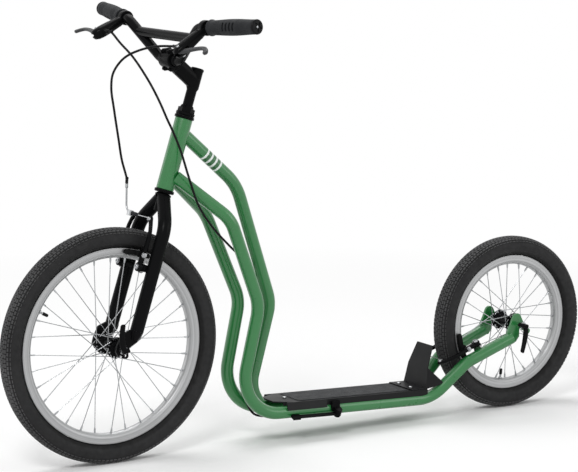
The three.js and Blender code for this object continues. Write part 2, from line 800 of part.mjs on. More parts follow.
function sideTubeCorners(side) {
  const joint = fromSteering(0, side * sideJointSpread, headTubeBottom + sideJointRise);
  return [joint,
    reachPoint(sideShoulderReach, side * sideShoulderSpread, sideShoulderHeight),
    reachPoint(sideKneeReach, side * sideKneeSpread, sideKneeHeight),
    reachPoint(sideToeReach, side * lowRunSpread, sideToeHeight),
    aheadPoint(stayHeelReach, side * lowRunSpread, stayHeelHeight),
    aheadPoint(stayElbowReach, side * stayElbowSpread, stayElbowHeight),
    aheadPoint(stayEndReach, side * stayEndSpread, stayEndHeight)];
}

// The two side tubes are pinched flat where they lie side by side behind the head tube
function pinchAtHead(shape, joint, side) {
  const place = shape.getAttribute('position');
  const room = sideJointSpread - seatGap / 2;
  for (let i = 0; i < place.count; i += 1) {
    const corner = vector(0, 0, 0).fromBufferAttribute(place, i);
    const away = Math.hypot(corner.x - joint.x, corner.z - joint.z) / sidePinch;
    const centre = side * (sideJointSpread + (sideShoulderSpread - sideJointSpread) * Math.min(away / 2, 1));
    const ease = Math.min(1, away);
    const share = room / frameTubeRadius + (1 - room / frameTubeRadius) * ease;
    if (away < 1) place.setY(i, centre + (corner.y - centre) * share);
  }
  return shape;
}

const sideTubeBends = [sideShoulderBend, sideKneeBend, sideToeBend, stayHeelBend, stayElbowBend];

function sideTube(side) {
  const corners = sideTubeCorners(side);
  const stations = bentStations(corners, sideTubeBends, 22);
  const [start, next] = [stations[0], stations[1]];
  const extra = [1, 2].map((k) => ({
    point: start.point.clone().lerp(next.point, k / 3),
    heading: start.heading,
  }));
  stations.splice(1, 0, ...extra);
  const shape = pinchAtHead(tube(stations, frameTubeRadius, frameTubeSides), start.point, side);
  const boss = brakeBoss(rearTrack, -side, stayDepth).applyMatrix4(rearBrake.matrixWorld);
  const end = corners[corners.length - 1];
  const plateSpace = block(
    [end.x - frameTubeRadius * 2, Math.min(side * dropoutInner, side * dropoutOuter) - seatGap, 0],
    [end.x + frameTubeRadius * 3, Math.max(side * dropoutInner, side * dropoutOuter) + seatGap,
      rearTyreRadius * 2]);
  return without(joined(shape, boss), headSpace, plateSpace);
}

piece('left_side_tube', sideTube(-1), greenPaint);
piece('right_side_tube', sideTube(1), greenPaint);

// The single upper tube ends on a bridge between the side tubes, ahead of the footboard
const upperJoint = fromSteering(0, 0, headTubeTop - upperJointDrop);
const upperEnd = reachPoint(frontBridgeReach, 0, frontBridgeHeight);
const bridgeSpace = rod(vector(upperEnd.x, -sideShoulderSpread, upperEnd.z),
  vector(upperEnd.x, sideShoulderSpread, upperEnd.z), frontBridgeRadius + seatGap, 16);
const upperTube = without(
  bentTube([upperJoint,
    reachPoint(upperShoulderReach, 0, upperShoulderHeight),
    reachPoint(upperKneeReach, 0, upperKneeHeight),
    reachPoint(upperToeReach, 0, upperToeHeight),
    upperEnd], [upperShoulderBend, upperKneeBend, upperToeBend], frameTubeRadius, frameTubeSides),
  headSpace, bridgeSpace);
piece('upper_tube', upperTube, greenPaint);

// The side tubes' own space, a gap larger, cut from the bridges between them
const tubeSpaces = [-1, 1].map((side) => bentTube(
  sideTubeCorners(side), sideTubeBends, frameTubeRadius + seatGap, frameTubeSides));

const frontBridge = without(
  rod(vector(upperEnd.x, -lowRunSpread, upperEnd.z), vector(upperEnd.x, lowRunSpread, upperEnd.z),
    frontBridgeRadius, 10), ...tubeSpaces);
piece('front_bridge', frontBridge, greenPaint);

// Rear dropouts: plates across the stays' ends, slotted from below, each with an eyelet arm behind
function rearDropout(side) {
  const slot = axleRadius + seatGap;
  const eye = dropoutEyeletRadius * 2.2;
  const endX = -stayEndReach;
  const endZ = stayEndHeight - rearTyreRadius;
  const r = frameTubeRadius;
  const eyeX = r * 1.45;
  const eyeZ = -r * 1.15;
  const outline = [
    [-slot, 0], [-slot, -r * 1.9], [endX + r * 0.9, endZ - r * 0.75], [endX - r * 0.4, endZ - r * 0.9],
    [endX - r * 1.1, endZ - r * 0.2], [endX - r * 0.9, endZ + r * 0.9], [endX - r * 0.2, endZ + r * 2.3],
    ...arc(-r * 0.85, r * 1.2, r * 0.85, 160, 20, 5), [r * 0.55, r * 0.3], [eyeX, eyeZ + eye],
    ...arc(eyeX, eyeZ, eye, 60, -120, 6), [slot + r * 0.35, -r * 1.05], [slot, -r * 0.9], [slot, 0],
    ...arc(0, 0, slot, 0, 180, 6).slice(1, -1)];
  const low = Math.min(side * dropoutInner, side * dropoutOuter);
  const high = Math.max(side * dropoutInner, side * dropoutOuter);
  return sidePlate(outline, low, high, [circle(eyeX, eyeZ, dropoutEyeletRadius, 8)]);
}

piece('left_rear_dropout', rearDropout(-1), greenPaint).position.copy(rearAxle);
piece('right_rear_dropout', rearDropout(1), greenPaint).position.copy(rearAxle);

// The deck frame: X runs back along the low run of the side tubes, Z stands square to it
const toe = reachPoint(sideToeReach, 0, sideToeHeight);
const heel = aheadPoint(stayHeelReach, 0, stayHeelHeight);
const deckAngle = Math.atan2(toe.z - heel.z, heel.x - toe.x);
const deck = new THREE.Group();
deck.position.copy(toe);
deck.rotation.y = deckAngle;
deck.updateMatrixWorld();
parts.add(deck);
const alongDeck = (worldX) => (worldX - toe.x) / Math.cos(deckAngle);
const deckFront = alongDeck(frontAxle.x + deckFrontReach);
const deckRear = alongDeck(rearAxle.x - deckRearReach);
const deckTop = frameTubeRadius + deckRise;

// Where the round top of a side tube lies, a gap above it, at a given y
const tubeShoulder = (y) => Math.sqrt((frameTubeRadius + seatGap) ** 2 - (y - lowRunSpread) ** 2);

// The side tubes' own space in the deck frame
const intoDeck = deck.matrixWorld.clone().invert();
const deckTubeSpaces = tubeSpaces.map((space) => space.clone().applyMatrix4(intoDeck));

function footboardShape() {
  const w = deckHalfWidth;
  const inner = w - deckLip;
  const under = deckTop - deckPlate;
  const rib = deckRibHalfWidth;
  const tray = frontPlate([
    [-w, deckTop], [-w, tubeShoulder(w)], [-inner, tubeShoulder(inner)], [-inner, under],
    [-lowRunSpread - rib, under], [-lowRunSpread - rib, frameTubeRadius + seatGap],
    [-lowRunSpread + rib, frameTubeRadius + seatGap], [-lowRunSpread + rib, under],
    [lowRunSpread - rib, under], [lowRunSpread - rib, frameTubeRadius + seatGap],
    [lowRunSpread + rib, frameTubeRadius + seatGap], [lowRunSpread + rib, under],
    [inner, under], [inner, tubeShoulder(inner)], [w, tubeShoulder(w)], [w, deckTop]], deckFront, deckRear);
  const noseCut = (side) => levelPlate([
    [deckFront - overrun, side * deckNoseHalfWidth], [deckFront, side * deckNoseHalfWidth],
    [deckFront + deckNoseLength, side * w], [deckFront + deckNoseLength, side * (w + overrun)],
    [deckFront - overrun, side * (w + overrun)]], -overrun, deckTop + overrun);
  const lipStart = deckFront + deepLipStart;
  const deepLip = (side) => frontPlate([
    [side * inner, deckTop], [side * w, deckTop], [side * (w + deepLipFlare), deckTop - deepLipDrop],
    [side * (w + deepLipFlare - deckLip * 0.7), deckTop - deepLipDrop],
    [side * (inner + deepLipFlare / 2), deckTop - deepLipDrop / 2], [side * inner, under]],
  lipStart, lipStart + deepLipLength);
  const tubeRoom = (side) => rod(vector(deckFront - overrun, side * lowRunSpread, 0),
    vector(deckRear + overrun, side * lowRunSpread, 0), frameTubeRadius + seatGap, 24);
  const rivet = turnedAboutZ([[0, deckTop - deckPlate / 2], [rivetRadius, deckTop - deckPlate / 2],
    [rivetRadius, deckTop + rivetRise / 2], [rivetRadius * 0.6, deckTop + rivetRise],
    [0, deckTop + rivetRise]], 8).translate(alongDeck(frontAxle.x + deckFrontReach + frontRivetInset), 0, 0);
  const board = without(tray, noseCut(-1), noseCut(1));
  const panelHalf = w - treadPanelInset;
  const panelFront = deckFront + Math.max(deckNoseLength, frontRivetInset + rivetRadius) + treadPanelInset;
  const panel = block([panelFront, -panelHalf, deckTop - deckPlate / 2],
    [deckRear - guardFootLength - treadPanelInset, panelHalf, deckTop + treadPanelRise]);
  return without(joined(board, panel, deepLip(-1), deepLip(1), rivet),
    tubeRoom(-1), tubeRoom(1), ...deckTubeSpaces);
}

piece('footboard', footboardShape(), charcoal, deck);

// A plate over a flat polygon of points in space, its thickness laid along the polygon's own normal
function facetPlate(points, thickness) {
  const origin = points[0];
  const across = points[1].clone().sub(origin).normalize();
  const normal = across.clone().cross(points[2].clone().sub(origin)).normalize();
  const up = normal.clone().cross(across);
  const basis = new THREE.Matrix4().makeBasis(across, up, normal).setPosition(origin);
  const flat = points.map((point) => point.clone().sub(origin));
  const shape = new THREE.Shape(flat.map((point) => new THREE.Vector2(point.dot(across), point.dot(up))));
  const plate = new THREE.ExtrudeGeometry(shape, { depth: thickness, bevelEnabled: false, steps: 1 });
  return plate.applyMatrix4(basis);
}

// The heel guard: a foot on the footboard, a bent plate narrowing upwards and a side wing folded back on
// either edge over the rising tubes
function heelGuardShape() {
  const foot = deckTop + seatGap;
  const middle = foot + guardMiddleHeight;
  const top = foot + guardHeight;
  const start = deckRear - guardFootLength;
  const profile = [[start, foot], [deckRear, foot], [deckRear + guardMiddleBack, middle],
    [deckRear + guardTopBack, top], [deckRear + guardTopBack - guardPlate, top],
    [deckRear + guardMiddleBack - guardPlate, middle], [deckRear - guardPlate, foot + guardPlate],
    [start, foot + guardPlate]];
  const w = guardFootHalfWidth;
  const far = w * 2;
  const widthShare = guardMiddleHeight / guardHeight;
  const middleWidth = w + (guardTopHalfWidth - w) * widthShare;
  const trimmed = (side) => frontPlate([[side * w, foot - overrun], [side * w, foot],
    [side * guardTopHalfWidth, top], [side * guardTopHalfWidth, top + overrun], [side * far, top + overrun],
    [side * far, foot - overrun]], start - overrun, deckRear + guardTopBack + overrun);
  const wing = (side) => facetPlate([
    vector(deckRear - guardPlate, side * w, foot + seatGap * 2),
    vector(deckRear + guardMiddleBack - guardPlate, side * middleWidth, middle),
    vector(deckRear + guardWingBack, side * guardWingHalfWidth, foot + guardWingRise)], -side * guardPlate);
  const rivet = (side) => turnedAboutZ([[0, foot + guardPlate / 2], [rivetRadius, foot + guardPlate / 2],
    [rivetRadius, foot + guardPlate + rivetRise / 2], [rivetRadius * 0.6, foot + guardPlate + rivetRise],
    [0, foot + guardPlate + rivetRise]], 8)
    .translate(alongDeck(rearAxle.x - deckRearReach - rearRivetInset), side * rearRivetSpread, 0);
  const body = without(sidePlate(profile, -w, w), trimmed(-1), trimmed(1));
  return joined(body, wing(-1), wing(1), rivet(-1), rivet(1));
}

piece('heel_guard', without(heelGuardShape(), ...deckTubeSpaces), charcoal, deck);

// Side stand: its pivot leans, so that the arm swings out and down from under the left tube
const standPivot = reachPoint(deckFrontReach + standPivotSetback, -standPivotSide, standPivotHeight);
const standFolded = vector(-standTipForward, standTipInward, standTipRise);
const standReach = standFolded.length();
const standOpen = vector(-standOpenForward, -standOpenOut, -Math.sqrt(
  standReach ** 2 - standOpenForward ** 2 - standOpenOut ** 2));
const standAxis = vector(0, 0, 0).crossVectors(standFolded, standOpen).normalize();

function standFrame() {
  const group = new THREE.Group();
  const z = standAxis;
  const x = standFolded.clone().normalize().multiplyScalar(-1);
  const y = vector(0, 0, 0).crossVectors(z, x).normalize();
  group.applyMatrix4(new THREE.Matrix4().makeBasis(x, y, z).setPosition(standPivot));
  group.updateMatrixWorld();
  parts.add(group);
  return group;
}

const stand = standFrame();
const standTube = tubeSpaces[0].clone().applyMatrix4(stand.matrixWorld.clone().invert());

// The bracket is a boss over the arm's eye, held by a block and a side strap that hug the side tube
function standBracketShape() {
  const low = standEyeHeight / 2 + seatGap;
  const high = low + standBossHeight;
  const boss = turnedAboutZ([[0, low], [standBossRadius, low], [standBossRadius, high], [0, high]], 14);
  const bolt = turnedAboutZ([[0, -low - standPlate / 2], [standBoltRadius * 2, -low - standPlate / 2],
    [standBoltRadius * 2, -low], [standBoltRadius, -low], [standBoltRadius, low + standPlate],
    [0, low + standPlate]], 10);
  const intoStand = stand.matrixWorld.clone().invert();
  const tubeHeart = stand.worldToLocal(vector(standPivot.x, -lowRunSpread, standPivot.z + frameTubeRadius));
  const hold = block([-standBossRadius, 0, low], [standBossRadius, tubeHeart.y, high]);
  const tubeSide = -lowRunSpread - frameTubeRadius;
  const strap = block([standPivot.x - standBossRadius * 1.4, tubeSide - standPlate, standPivot.z],
    [standPivot.x + standBossRadius, tubeSide + frameTubeRadius / 2, standPivot.z + frameTubeRadius * 2])
    .applyMatrix4(intoStand);
  const armSpace = block([-standReach, -standReach, -standReach], [standReach, standReach, low]);
  const board = block([deckFront, -deckHalfWidth - seatGap, tubeShoulder(deckHalfWidth) - seatGap * 2],
    [deckRear, 0, deckTop + overrun]).applyMatrix4(deck.matrixWorld).applyMatrix4(intoStand);
  return without(joined(boss, without(joined(hold, strap), armSpace), bolt), standTube, board);
}

piece('stand_bracket', standBracketShape(), blackPaint, stand);

// The stand arm: an eye on the pivot bolt and a round leg with a flattened foot
function standArmShape() {
  const half = standEyeHeight / 2;
  const eye = turnedAboutZ([[0, -half], [standEyeRadius, -half], [standEyeRadius, half], [0, half]], 14);
  const leg = rod(vector(0, 0, 0), vector(-standReach + standFootLength, 0, 0), standArmRadius, 10)
    .scale(1, 1, (half * 2) / (standArmRadius * 2));
  const foot = block([-standReach, -standArmRadius * 1.3, -half], [-standReach + standFootLength * 1.2,
    standArmRadius * 1.3, half]);
  const hole = turnedAboutZ([[0, -half - overrun], [standBoltRadius + runningGap, -half - overrun],
    [standBoltRadius + runningGap, half + overrun], [0, half + overrun]], 10);
  return without(joined(eye, leg, foot), hole);
}

piece('side_stand', standArmShape(), blackPaint, stand);

// Stem: a quill in the steerer, a barrel above the nut, a forged arm and the bar clamp
const clampCentre = vector(-clampAdvance, 0, clampRise);
const armStart = vector(0, 0, clampRise - stemArmDrop);
const armHeading = clampCentre.clone().sub(armStart).normalize();
const armPitch = Math.atan2(armHeading.z, -armHeading.x);

function aboutClamp(shape) {
  return shape.rotateY(armPitch).translate(clampCentre.x, clampCentre.y, clampCentre.z);
}

const boreTool = (radius, half) => aboutClamp(
  turnedAboutY([[0, -half], [radius, -half], [radius, half], [0, half]], 16));

function stemShape() {
  const quillBottom = headTubeTop - quillDepth;
  const capTop = stemBarrelTop + stemCapHeight;
  const post = turnedAboutZ([[0, quillBottom], [quillRadius, quillBottom], [quillRadius, stemBarrelBottom],
    [stemBarrelRadius, stemBarrelBottom + quillRadius / 2], [stemBarrelRadius, stemBarrelTop],
    [stemCapRadius, stemBarrelTop], [stemCapRadius, capTop - stemCapHeight / 3],
    [stemCapRadius - stemCapHeight / 3, capTop], [0, capTop]], 12);
  const length = clampCentre.distanceTo(armStart);
  const arm = new THREE.CylinderGeometry(1, 1, length, 12).rotateZ(Math.PI / 2).translate(length / 2, 0, 0)
    .scale(1, stemArmWidth / 2, stemArmHeight / 2);
  const half = clampWidth / 2;
  const clamp = turnedAboutY([[0, -half], [clampRadius, -half], [clampRadius, half], [0, half]], 16);
  const front = block([-clampRadius * 2, -clampWidth, -clampRadius * 2],
    [clampSplit / 2, clampWidth, clampRadius * 2]);
  const bore = boreTool(barSleeveRadius + seatGap, clampWidth);
  return without(joined(post, aboutClamp(arm), aboutClamp(clamp)), bore, aboutClamp(front));
}

piece('stem', stemShape(), blackPaint, steering);

// The clamp's face plate with its four bolt heads
function facePlateShape() {
  const half = clampWidth / 2;
  const cap = turnedAboutY([[0, -half], [clampRadius, -half], [clampRadius, half], [0, half]], 16);
  const earHeight = clampRadius + clampBoltRadius;
  const boltZ = clampRadius - clampBoltRadius / 2;
  const ears = block([-clampRadius / 2, -half, -earHeight], [-clampSplit / 2, half, earHeight]);
  const back = block([-clampSplit / 2, -clampWidth, -clampRadius * 2],
    [clampRadius * 2, clampWidth, clampRadius * 2]);
  const heads = [];
  for (const y of [-clampBoltSpread, clampBoltSpread]) {
    for (const z of [-boltZ, boltZ]) {
      heads.push(rod(vector(-clampRadius / 2 - clampBoltHead, y, z),
        vector(-clampRadius / 2 + overrun, y, z), clampBoltRadius, 6));
    }
  }
  const body = joined(without(joined(cap, ears), back), ...heads);
  return without(aboutClamp(body), boreTool(barSleeveRadius + seatGap, clampWidth));
}

piece('stem_face_plate', facePlateShape(), blackPaint, steering);

// Handlebar: a flat middle, two risers and two swept-back ends
const barCorner = (side) => [vector(-clampAdvance, side * barFlatHalf, clampRise),
  vector(-barBendAdvance, side * barBendSpread, barBendRise),
  vector(-barEndAdvance, side * barEndSpread, barEndRise)];
const [flatEnd, bendPoint, barEnd] = barCorner(1);
const barHeading = barEnd.clone().sub(bendPoint).normalize();
const onGrip = (y, side) => {
  const share = (y - bendPoint.y) / (barEnd.y - bendPoint.y);
  return bendPoint.clone().lerp(barEnd, share).multiply(vector(1, side, 1));
};

const barRoute = (radius) => bentTube([...barCorner(-1).reverse(), ...barCorner(1)],
  [barBend, barBend, barBend, barBend], radius, 10);

function handlebarShape() {
  const sleeve = turnedAboutY([[0, -barSleeveHalf], [barSleeveRadius, -barSleeveHalf],
    [barSleeveRadius, barSleeveHalf], [0, barSleeveHalf]], 16).translate(-clampAdvance, 0, clampRise);
  return joined(barRoute(barRadius), sleeve);
}

piece('handlebar', handlebarShape(), blackPaint, steering);

// The crossbar is fitted between the risers
const crossShare = (crossbarSpread - flatEnd.y) / (bendPoint.y - flatEnd.y);
const crossPoint = (side) => flatEnd.clone().lerp(bendPoint, crossShare).multiply(vector(1, side, 1));
piece('handlebar_crossbar', without(rod(crossPoint(-1), crossPoint(1), crossbarRadius, 12),
  barRoute(barRadius + seatGap)), blackPaint, steering);

// Grips and end plugs, built along +Y outwards from the bar's end and laid on the bar
function layOnBar(shape, side) {
  const facing = new THREE.Quaternion().setFromUnitVectors(vector(0, 1, 0),
    barHeading.clone().multiply(vector(1, side, 1)).multiplyScalar(side));
  const end = barEnd.clone().multiply(vector(1, side, 1));
  return shape.applyQuaternion(facing).translate(end.x, end.y, end.z);
}

function gripShape(side) {
  const bore = barRadius + seatGap;
  const flange = gripFlangeWidth;
  const swellShares = [[0.06, 0], [0.35, 0.9], [0.7, 0.9], [1, 0.1]];
  const swell = swellShares.map(([along, belly]) => [
    gripRadius + (gripBelly - gripRadius) * belly, -gripLength + flange + (gripLength - flange) * along]);
  const corners = [[bore, -gripLength], [gripFlangeRadius, -gripLength],
    [gripFlangeRadius, -gripLength + flange], ...swell, [bore, 0]];
  const body = turnedAboutY([...corners, corners[0]].map(([r, y]) => [r, side * y]), 14);
  const slots = [];
  for (let i = 0; i < gripSlotCount; i += 1) {
    const y = -gripLength + gripSlotStart + i * gripSlotPitch;
    const low = Math.min(side * y, side * (y + gripSlotWidth));
    slots.push(block([-gripBelly - overrun, low, -gripSlotHeight / 2],
      [-gripBelly + gripSlotDepth, low + gripSlotWidth, gripSlotHeight / 2]));
  }
  return layOnBar(without(body, ...slots), side);
}

function plugShape(side) {
  const corners = [[0, seatGap], [plugRadius, seatGap], [plugRadius, plugRim * 0.6],
    [plugRadius * 0.8, plugRim], [plugRadius * 0.55, plugRim],
    [plugRadius * 0.5, plugRim - plugRecess], [0, plugRim - plugRecess]];
  return layOnBar(turnedAboutY(corners.map(([r, y]) => [r, side * y]), 10), side);
}

for (const [name, side] of [['left', -1], ['right', 1]]) {
  piece(`${name}_grip`, gripShape(side), gripRubber, steering);
  piece(`${name}_bar_plug`, plugShape(side), plastic, steering);
}

// Brake levers: a frame at the lever's pivot, with X back to the bar and Z along the pivot pin
function leverFrame(side, leverTilt) {
  const group = new THREE.Group();
  const seat = onGrip(leverSeat, side);
  const tilt = turn(leverTilt);
  group.position.copy(seat).add(vector(-leverReach * Math.cos(tilt), 0, -leverReach * Math.sin(tilt)));
  group.rotation.y = -tilt;
  group.updateMatrix();
  steering.add(group);
  return group;
}

// The bracket: a clamp on the bar, an arm forward to two lugs that hold the pin, and the cable barrel
function leverBracketShape(side, group) {
  const half = leverBodyThickness / 2;
  const w = leverBodyWidth / 2;
  const clamp = turnedAboutY([[0, -leverClampWidth / 2], [leverClampRadius, -leverClampWidth / 2],
    [leverClampRadius, leverClampWidth / 2], [0, leverClampWidth / 2]], 12).translate(leverReach, 0, 0);
  const body = levelPlate([[leverReach, side * w], [leverReach, -side * w],
    [leverEyeRadius, -side * w * 1.3], [-leverEyeRadius * 0.8, -side * w * 1.3],
    [-leverEyeRadius * 0.9, side * w * 0.4], [leverEyeRadius, side * w]], -half, half);
  const slot = levelPlate([[-leverEyeRadius * 2, side * bladeLength], [leverReach / 2, side * bladeLength],
    [leverEyeRadius + overrun, -side * w * 0.9], [-leverEyeRadius * 2, -side * w * 0.9]],
  -bladeThickness / 2 - runningGap, bladeThickness / 2 + runningGap);
  const pin = rod(vector(0, 0, -half), vector(0, 0, half), leverPinRadius, 10);
  const barrel = rod(vector(barrelSetback, -side * w * 0.9, 0),
    vector(barrelSetback, -side * (w + barrelLength), 0), barrelRadius, 10);
  const barSpace = barRoute(barRadius + seatGap).applyMatrix4(group.matrix.clone().invert());
  return without(joined(without(joined(clamp, body), slot), pin, barrel), barSpace);
}

// The blade: an eye on the pin, a finger that bows towards the bar and a hooked end
function leverBladeShape(side, rest) {
  const w = bladeWidth;
  const e = leverEyeRadius * 0.85;
  const length = bladeLength;
  const outline = [[-e * 0.4, -e * 0.8], [-e, 0], [-w * 0.6, e],
    [-w * 0.2, length * 0.3], [w * 0.2, length * 0.58], [w * 0.2, length * 0.78],
    [-w * 0.35, length * 0.89], [-w * 0.9, length * 0.95], [-w * 0.95, length * 1.02],
    [-w * 0.55, length * 1.06], [w * 0.3, length * 0.97], [w * 0.85, length * 0.83],
    [w * 0.95, length * 0.6], [w * 0.7, length * 0.3], [e * 0.8, e], [e, 0], [e * 0.6, -e * 0.7]];
  const blade = levelPlate(outline.map(([x, y]) => [x, side * y]), -bladeThickness / 2, bladeThickness / 2);
  const hole = rod(vector(0, 0, -bladeThickness), vector(0, 0, bladeThickness),
    leverPinRadius + runningGap, 10);
  return without(blade, hole).rotateZ(-side * turn(rest));
}

const leverFrames = {};
for (const [name, side, leverTilt, rest] of [
  ['left', -1, leftLeverTilt, leftBladeRest], ['right', 1, rightLeverTilt, rightBladeRest]]) {
  const group = leverFrame(side, leverTilt);
  leverFrames[name] = group;
  piece(`${name}_lever_bracket`, leverBracketShape(side, group), blackPaint, group);
  piece(`${name}_brake_lever`, leverBladeShape(side, rest), charcoal, group);
}
steering.updateMatrixWorld();

// Brake arms: an eye on the stud, a bowed arm past the pad and a tip with the cable's link
function brakeArmShape(track, side) {
  const pivotZ = track - brakePivotDrop;
  const tipZ = pivotZ + brakeArmLength;
  const p = brakePivotSpread;
  const h = brakeArmHalfWidth;
  const out = p + h * 1.3;
  const outline = [[p - brakeEyeRadius, pivotZ], [p - h * 1.2, track - padHeight], [p - h * 1.1, track],
    [p - h, track + padHeight], [brakeTipSpread - h * 0.2, tipZ - h * 3], [brakeTipSpread - h, tipZ],
    [brakeTipSpread - h * 0.5, tipZ + h * 0.6], [brakeTipSpread + h * 0.6, tipZ + h * 0.6],
    [brakeTipSpread + h, tipZ - h], [out - h * 0.6, track + brakeArmLength / 3], [out, track + padHeight],
    [out, track], [p + brakeEyeRadius, pivotZ],
    ...arc(p, pivotZ, brakeEyeRadius, 0, -180, 6).slice(1, -1)];
  const arm = frontPlate(outline.map(([y, z]) => [side * y, z]), -armFront, -armBack);
  const nut = rod(vector(-brakeArmAdvance, side * (out - h / 2), track),
    vector(-brakeArmAdvance, side * (out + h), track), padPostRadius, 6);
  const hole = rod(vector(-armFront - overrun, side * p, pivotZ),
    vector(-armBack + overrun, side * p, pivotZ), brakeStudRadius + runningGap, 10);
  return without(joined(arm, nut), hole);
}

// A brake pad: a shoe along the rim on a stack of washers against the arm
function brakePadShape(track, side) {
  const face = rimWidth / 2 + padGap;
  const back = face + padThickness;
  const armFace = brakePivotSpread - brakeArmHalfWidth * 1.2 - seatGap;
  const half = padLength / 2;
  const mid = -brakeArmAdvance;
  const shoe = frontPlate([[side * face, track - padHeight / 2], [side * face, track + padHeight / 2],
    [side * back, track + padHeight / 3], [side * back, track - padHeight / 3]], mid - half, mid + half);
  const post = rod(vector(mid, side * (back - overrun), track),
    vector(mid, side * armFace, track), padPostRadius, 6);
  const washer = rod(vector(mid, side * (back + overrun), track),
    vector(mid, side * (back + overrun * 2), track), padWasherRadius, 8);
  return joined(shoe, post, washer);
}

// The noodle on the right arm: a bent pipe, a ribbed boot and the bare wire across to the left arm
const noodleX = -(armFront + seatGap + linkWidth / 2);

function noodlePoints(track, side, mouthWay) {
  const tipZ = track - brakePivotDrop + brakeArmLength;
  const corner = vector(noodleX, side * (brakeTipSpread + noodleBend), tipZ);
  return {
    mouth: corner.clone().add(mouthWay),
    corner,
    inner: vector(noodleX, side * (brakeTipSpread - linkWidth), tipZ),
  };
}

function noodleShape(track, side, mouthWay) {
  const { mouth, corner, inner } = noodlePoints(track, side, mouthWay);
  const pipe = bentTube([mouth, corner, inner], [noodleBend], noodleRadius, 6, 30);
  const ribs = 2;
  const bootCorners = [[0, 0]];
  for (let i = 0; i < ribs; i += 1) {
    const y = bootLength * i / ribs;
    bootCorners.push([bootRadius * 0.7, y], [bootRadius, y + bootLength / ribs / 2]);
  }
  bootCorners.push([bootRadius * 0.6, bootLength], [0, bootLength]);
  const boot = turnedAboutY(bootCorners, 8).scale(1, -side, 1);
  boot.translate(inner.x, inner.y + side * overrun, inner.z);
  const wire = rod(inner, vector(inner.x, -side * (brakeTipSpread + wireTail), inner.z), wireRadius, 5);
  const half = linkWidth / 2;
  const middle = side * brakeTipSpread;
  const link = block([noodleX - half, middle - half, inner.z - half],
    [noodleX + half, middle + half, inner.z + half]);
  return joined(pipe, boot, wire, link);
}

const frontMouthWay = vector(-noodleLean, 0, noodleBend + noodleLift);
const rearMouthWay = vector(noodleBend + rearNoodleLift, 0, 0);

function addBrake(name, group, track, leftSide, mouthWay) {
  for (const [hand, side] of [['left', leftSide], ['right', -leftSide]]) {
    piece(`${name}_${hand}_brake_arm`, brakeArmShape(track, side), blackPaint, group);
    piece(`${name}_${hand}_brake_pad`, brakePadShape(track, side), tyreRubber, group);
  }
  piece(`${name}_noodle`, noodleShape(track, -leftSide, mouthWay), steel, group);
}

const frontBrake = new THREE.Group();
frontBrake.position.set(-forkOffset, 0, 0);
steering.add(frontBrake);
steering.updateMatrixWorld();
addBrake('front', frontBrake, frontTrack, -1, frontMouthWay);
addBrake('rear', rearBrake, rearTrack, 1, rearMouthWay);

// Cable housings, each with a short straight start at the lever's barrel and at the noodle
function noodleStart(group, track, side, mouthWay, out) {
  const start = noodlePoints(track, side, mouthWay).mouth;
  return listed(group.localToWorld(start.addScaledVector(mouthWay.clone().normalize(), out)));
}

const listed = (point) => [point.x, point.y, point.z];
const barrelStart = (name, side, out) => listed(leverFrames[name].localToWorld(
  vector(barrelSetback, -side * (leverBodyWidth / 2 + barrelLength + out), 0)));
const [near, clear] = [runningGap, cableRadius * 4];
const frontNoodle = (out) => noodleStart(frontBrake, frontTrack, 1, frontMouthWay, out);
const rearNoodle = (out) => noodleStart(rearBrake, rearTrack, -1, rearMouthWay, out);

piece('front_cable', cable([barrelStart('left', -1, near), barrelStart('left', -1, clear), [-445, -105, 892],
  [-471, -75, 883], [-492, -45, 865], [-503, -20, 835], [-496, 4, 800], [-479, 24, 751], [-459, 42, 686],
  [-446, 52, 640], frontNoodle(clear), frontNoodle(near)], cableRadius, frontCableSteps), plastic);
const cableSplit = [-371, -12, 728];
piece('rear_cable_upper', cable([barrelStart('right', 1, near), barrelStart('right', 1, clear),
  [-421, 105, 884], [-406, 75, 855], [-390, 30, 803], [-379, 5, 762], [-372, -10, 733]],
cableRadius, rearUpperSteps), plastic);
piece('rear_cable_lower', cable([cableSplit,
  [-364, -20, 707], [-351, -32, 665], [-336, -44, 604], [-316, -50, 545],
  [-276, -42, 494], [-226, -24, 450], [-180, -8, 412], [-152, 8, 380], [-133, 20, 345], [-130, 22, 300],
  [-146, 22, 220], [-158, 24, 160], [-160, 18, 108], [-143, 8, 62], [-112, 4, 52], [-50, 4, 58], [60, 6, 62],
  [130, 8, 58], [175, 18, 42], [208, 33, 35], [243, 50, 36], [278, 60, 50], [308, 63, 74],
  rearNoodle(clear), rearNoodle(near)], cableRadius, rearLowerSteps), plastic);

export default parts;
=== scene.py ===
import json
import math

import bmesh
import bpy
from bpy.props import FloatProperty, FloatVectorProperty, IntProperty, PointerProperty
from mathutils import Matrix, Quaternion, Vector

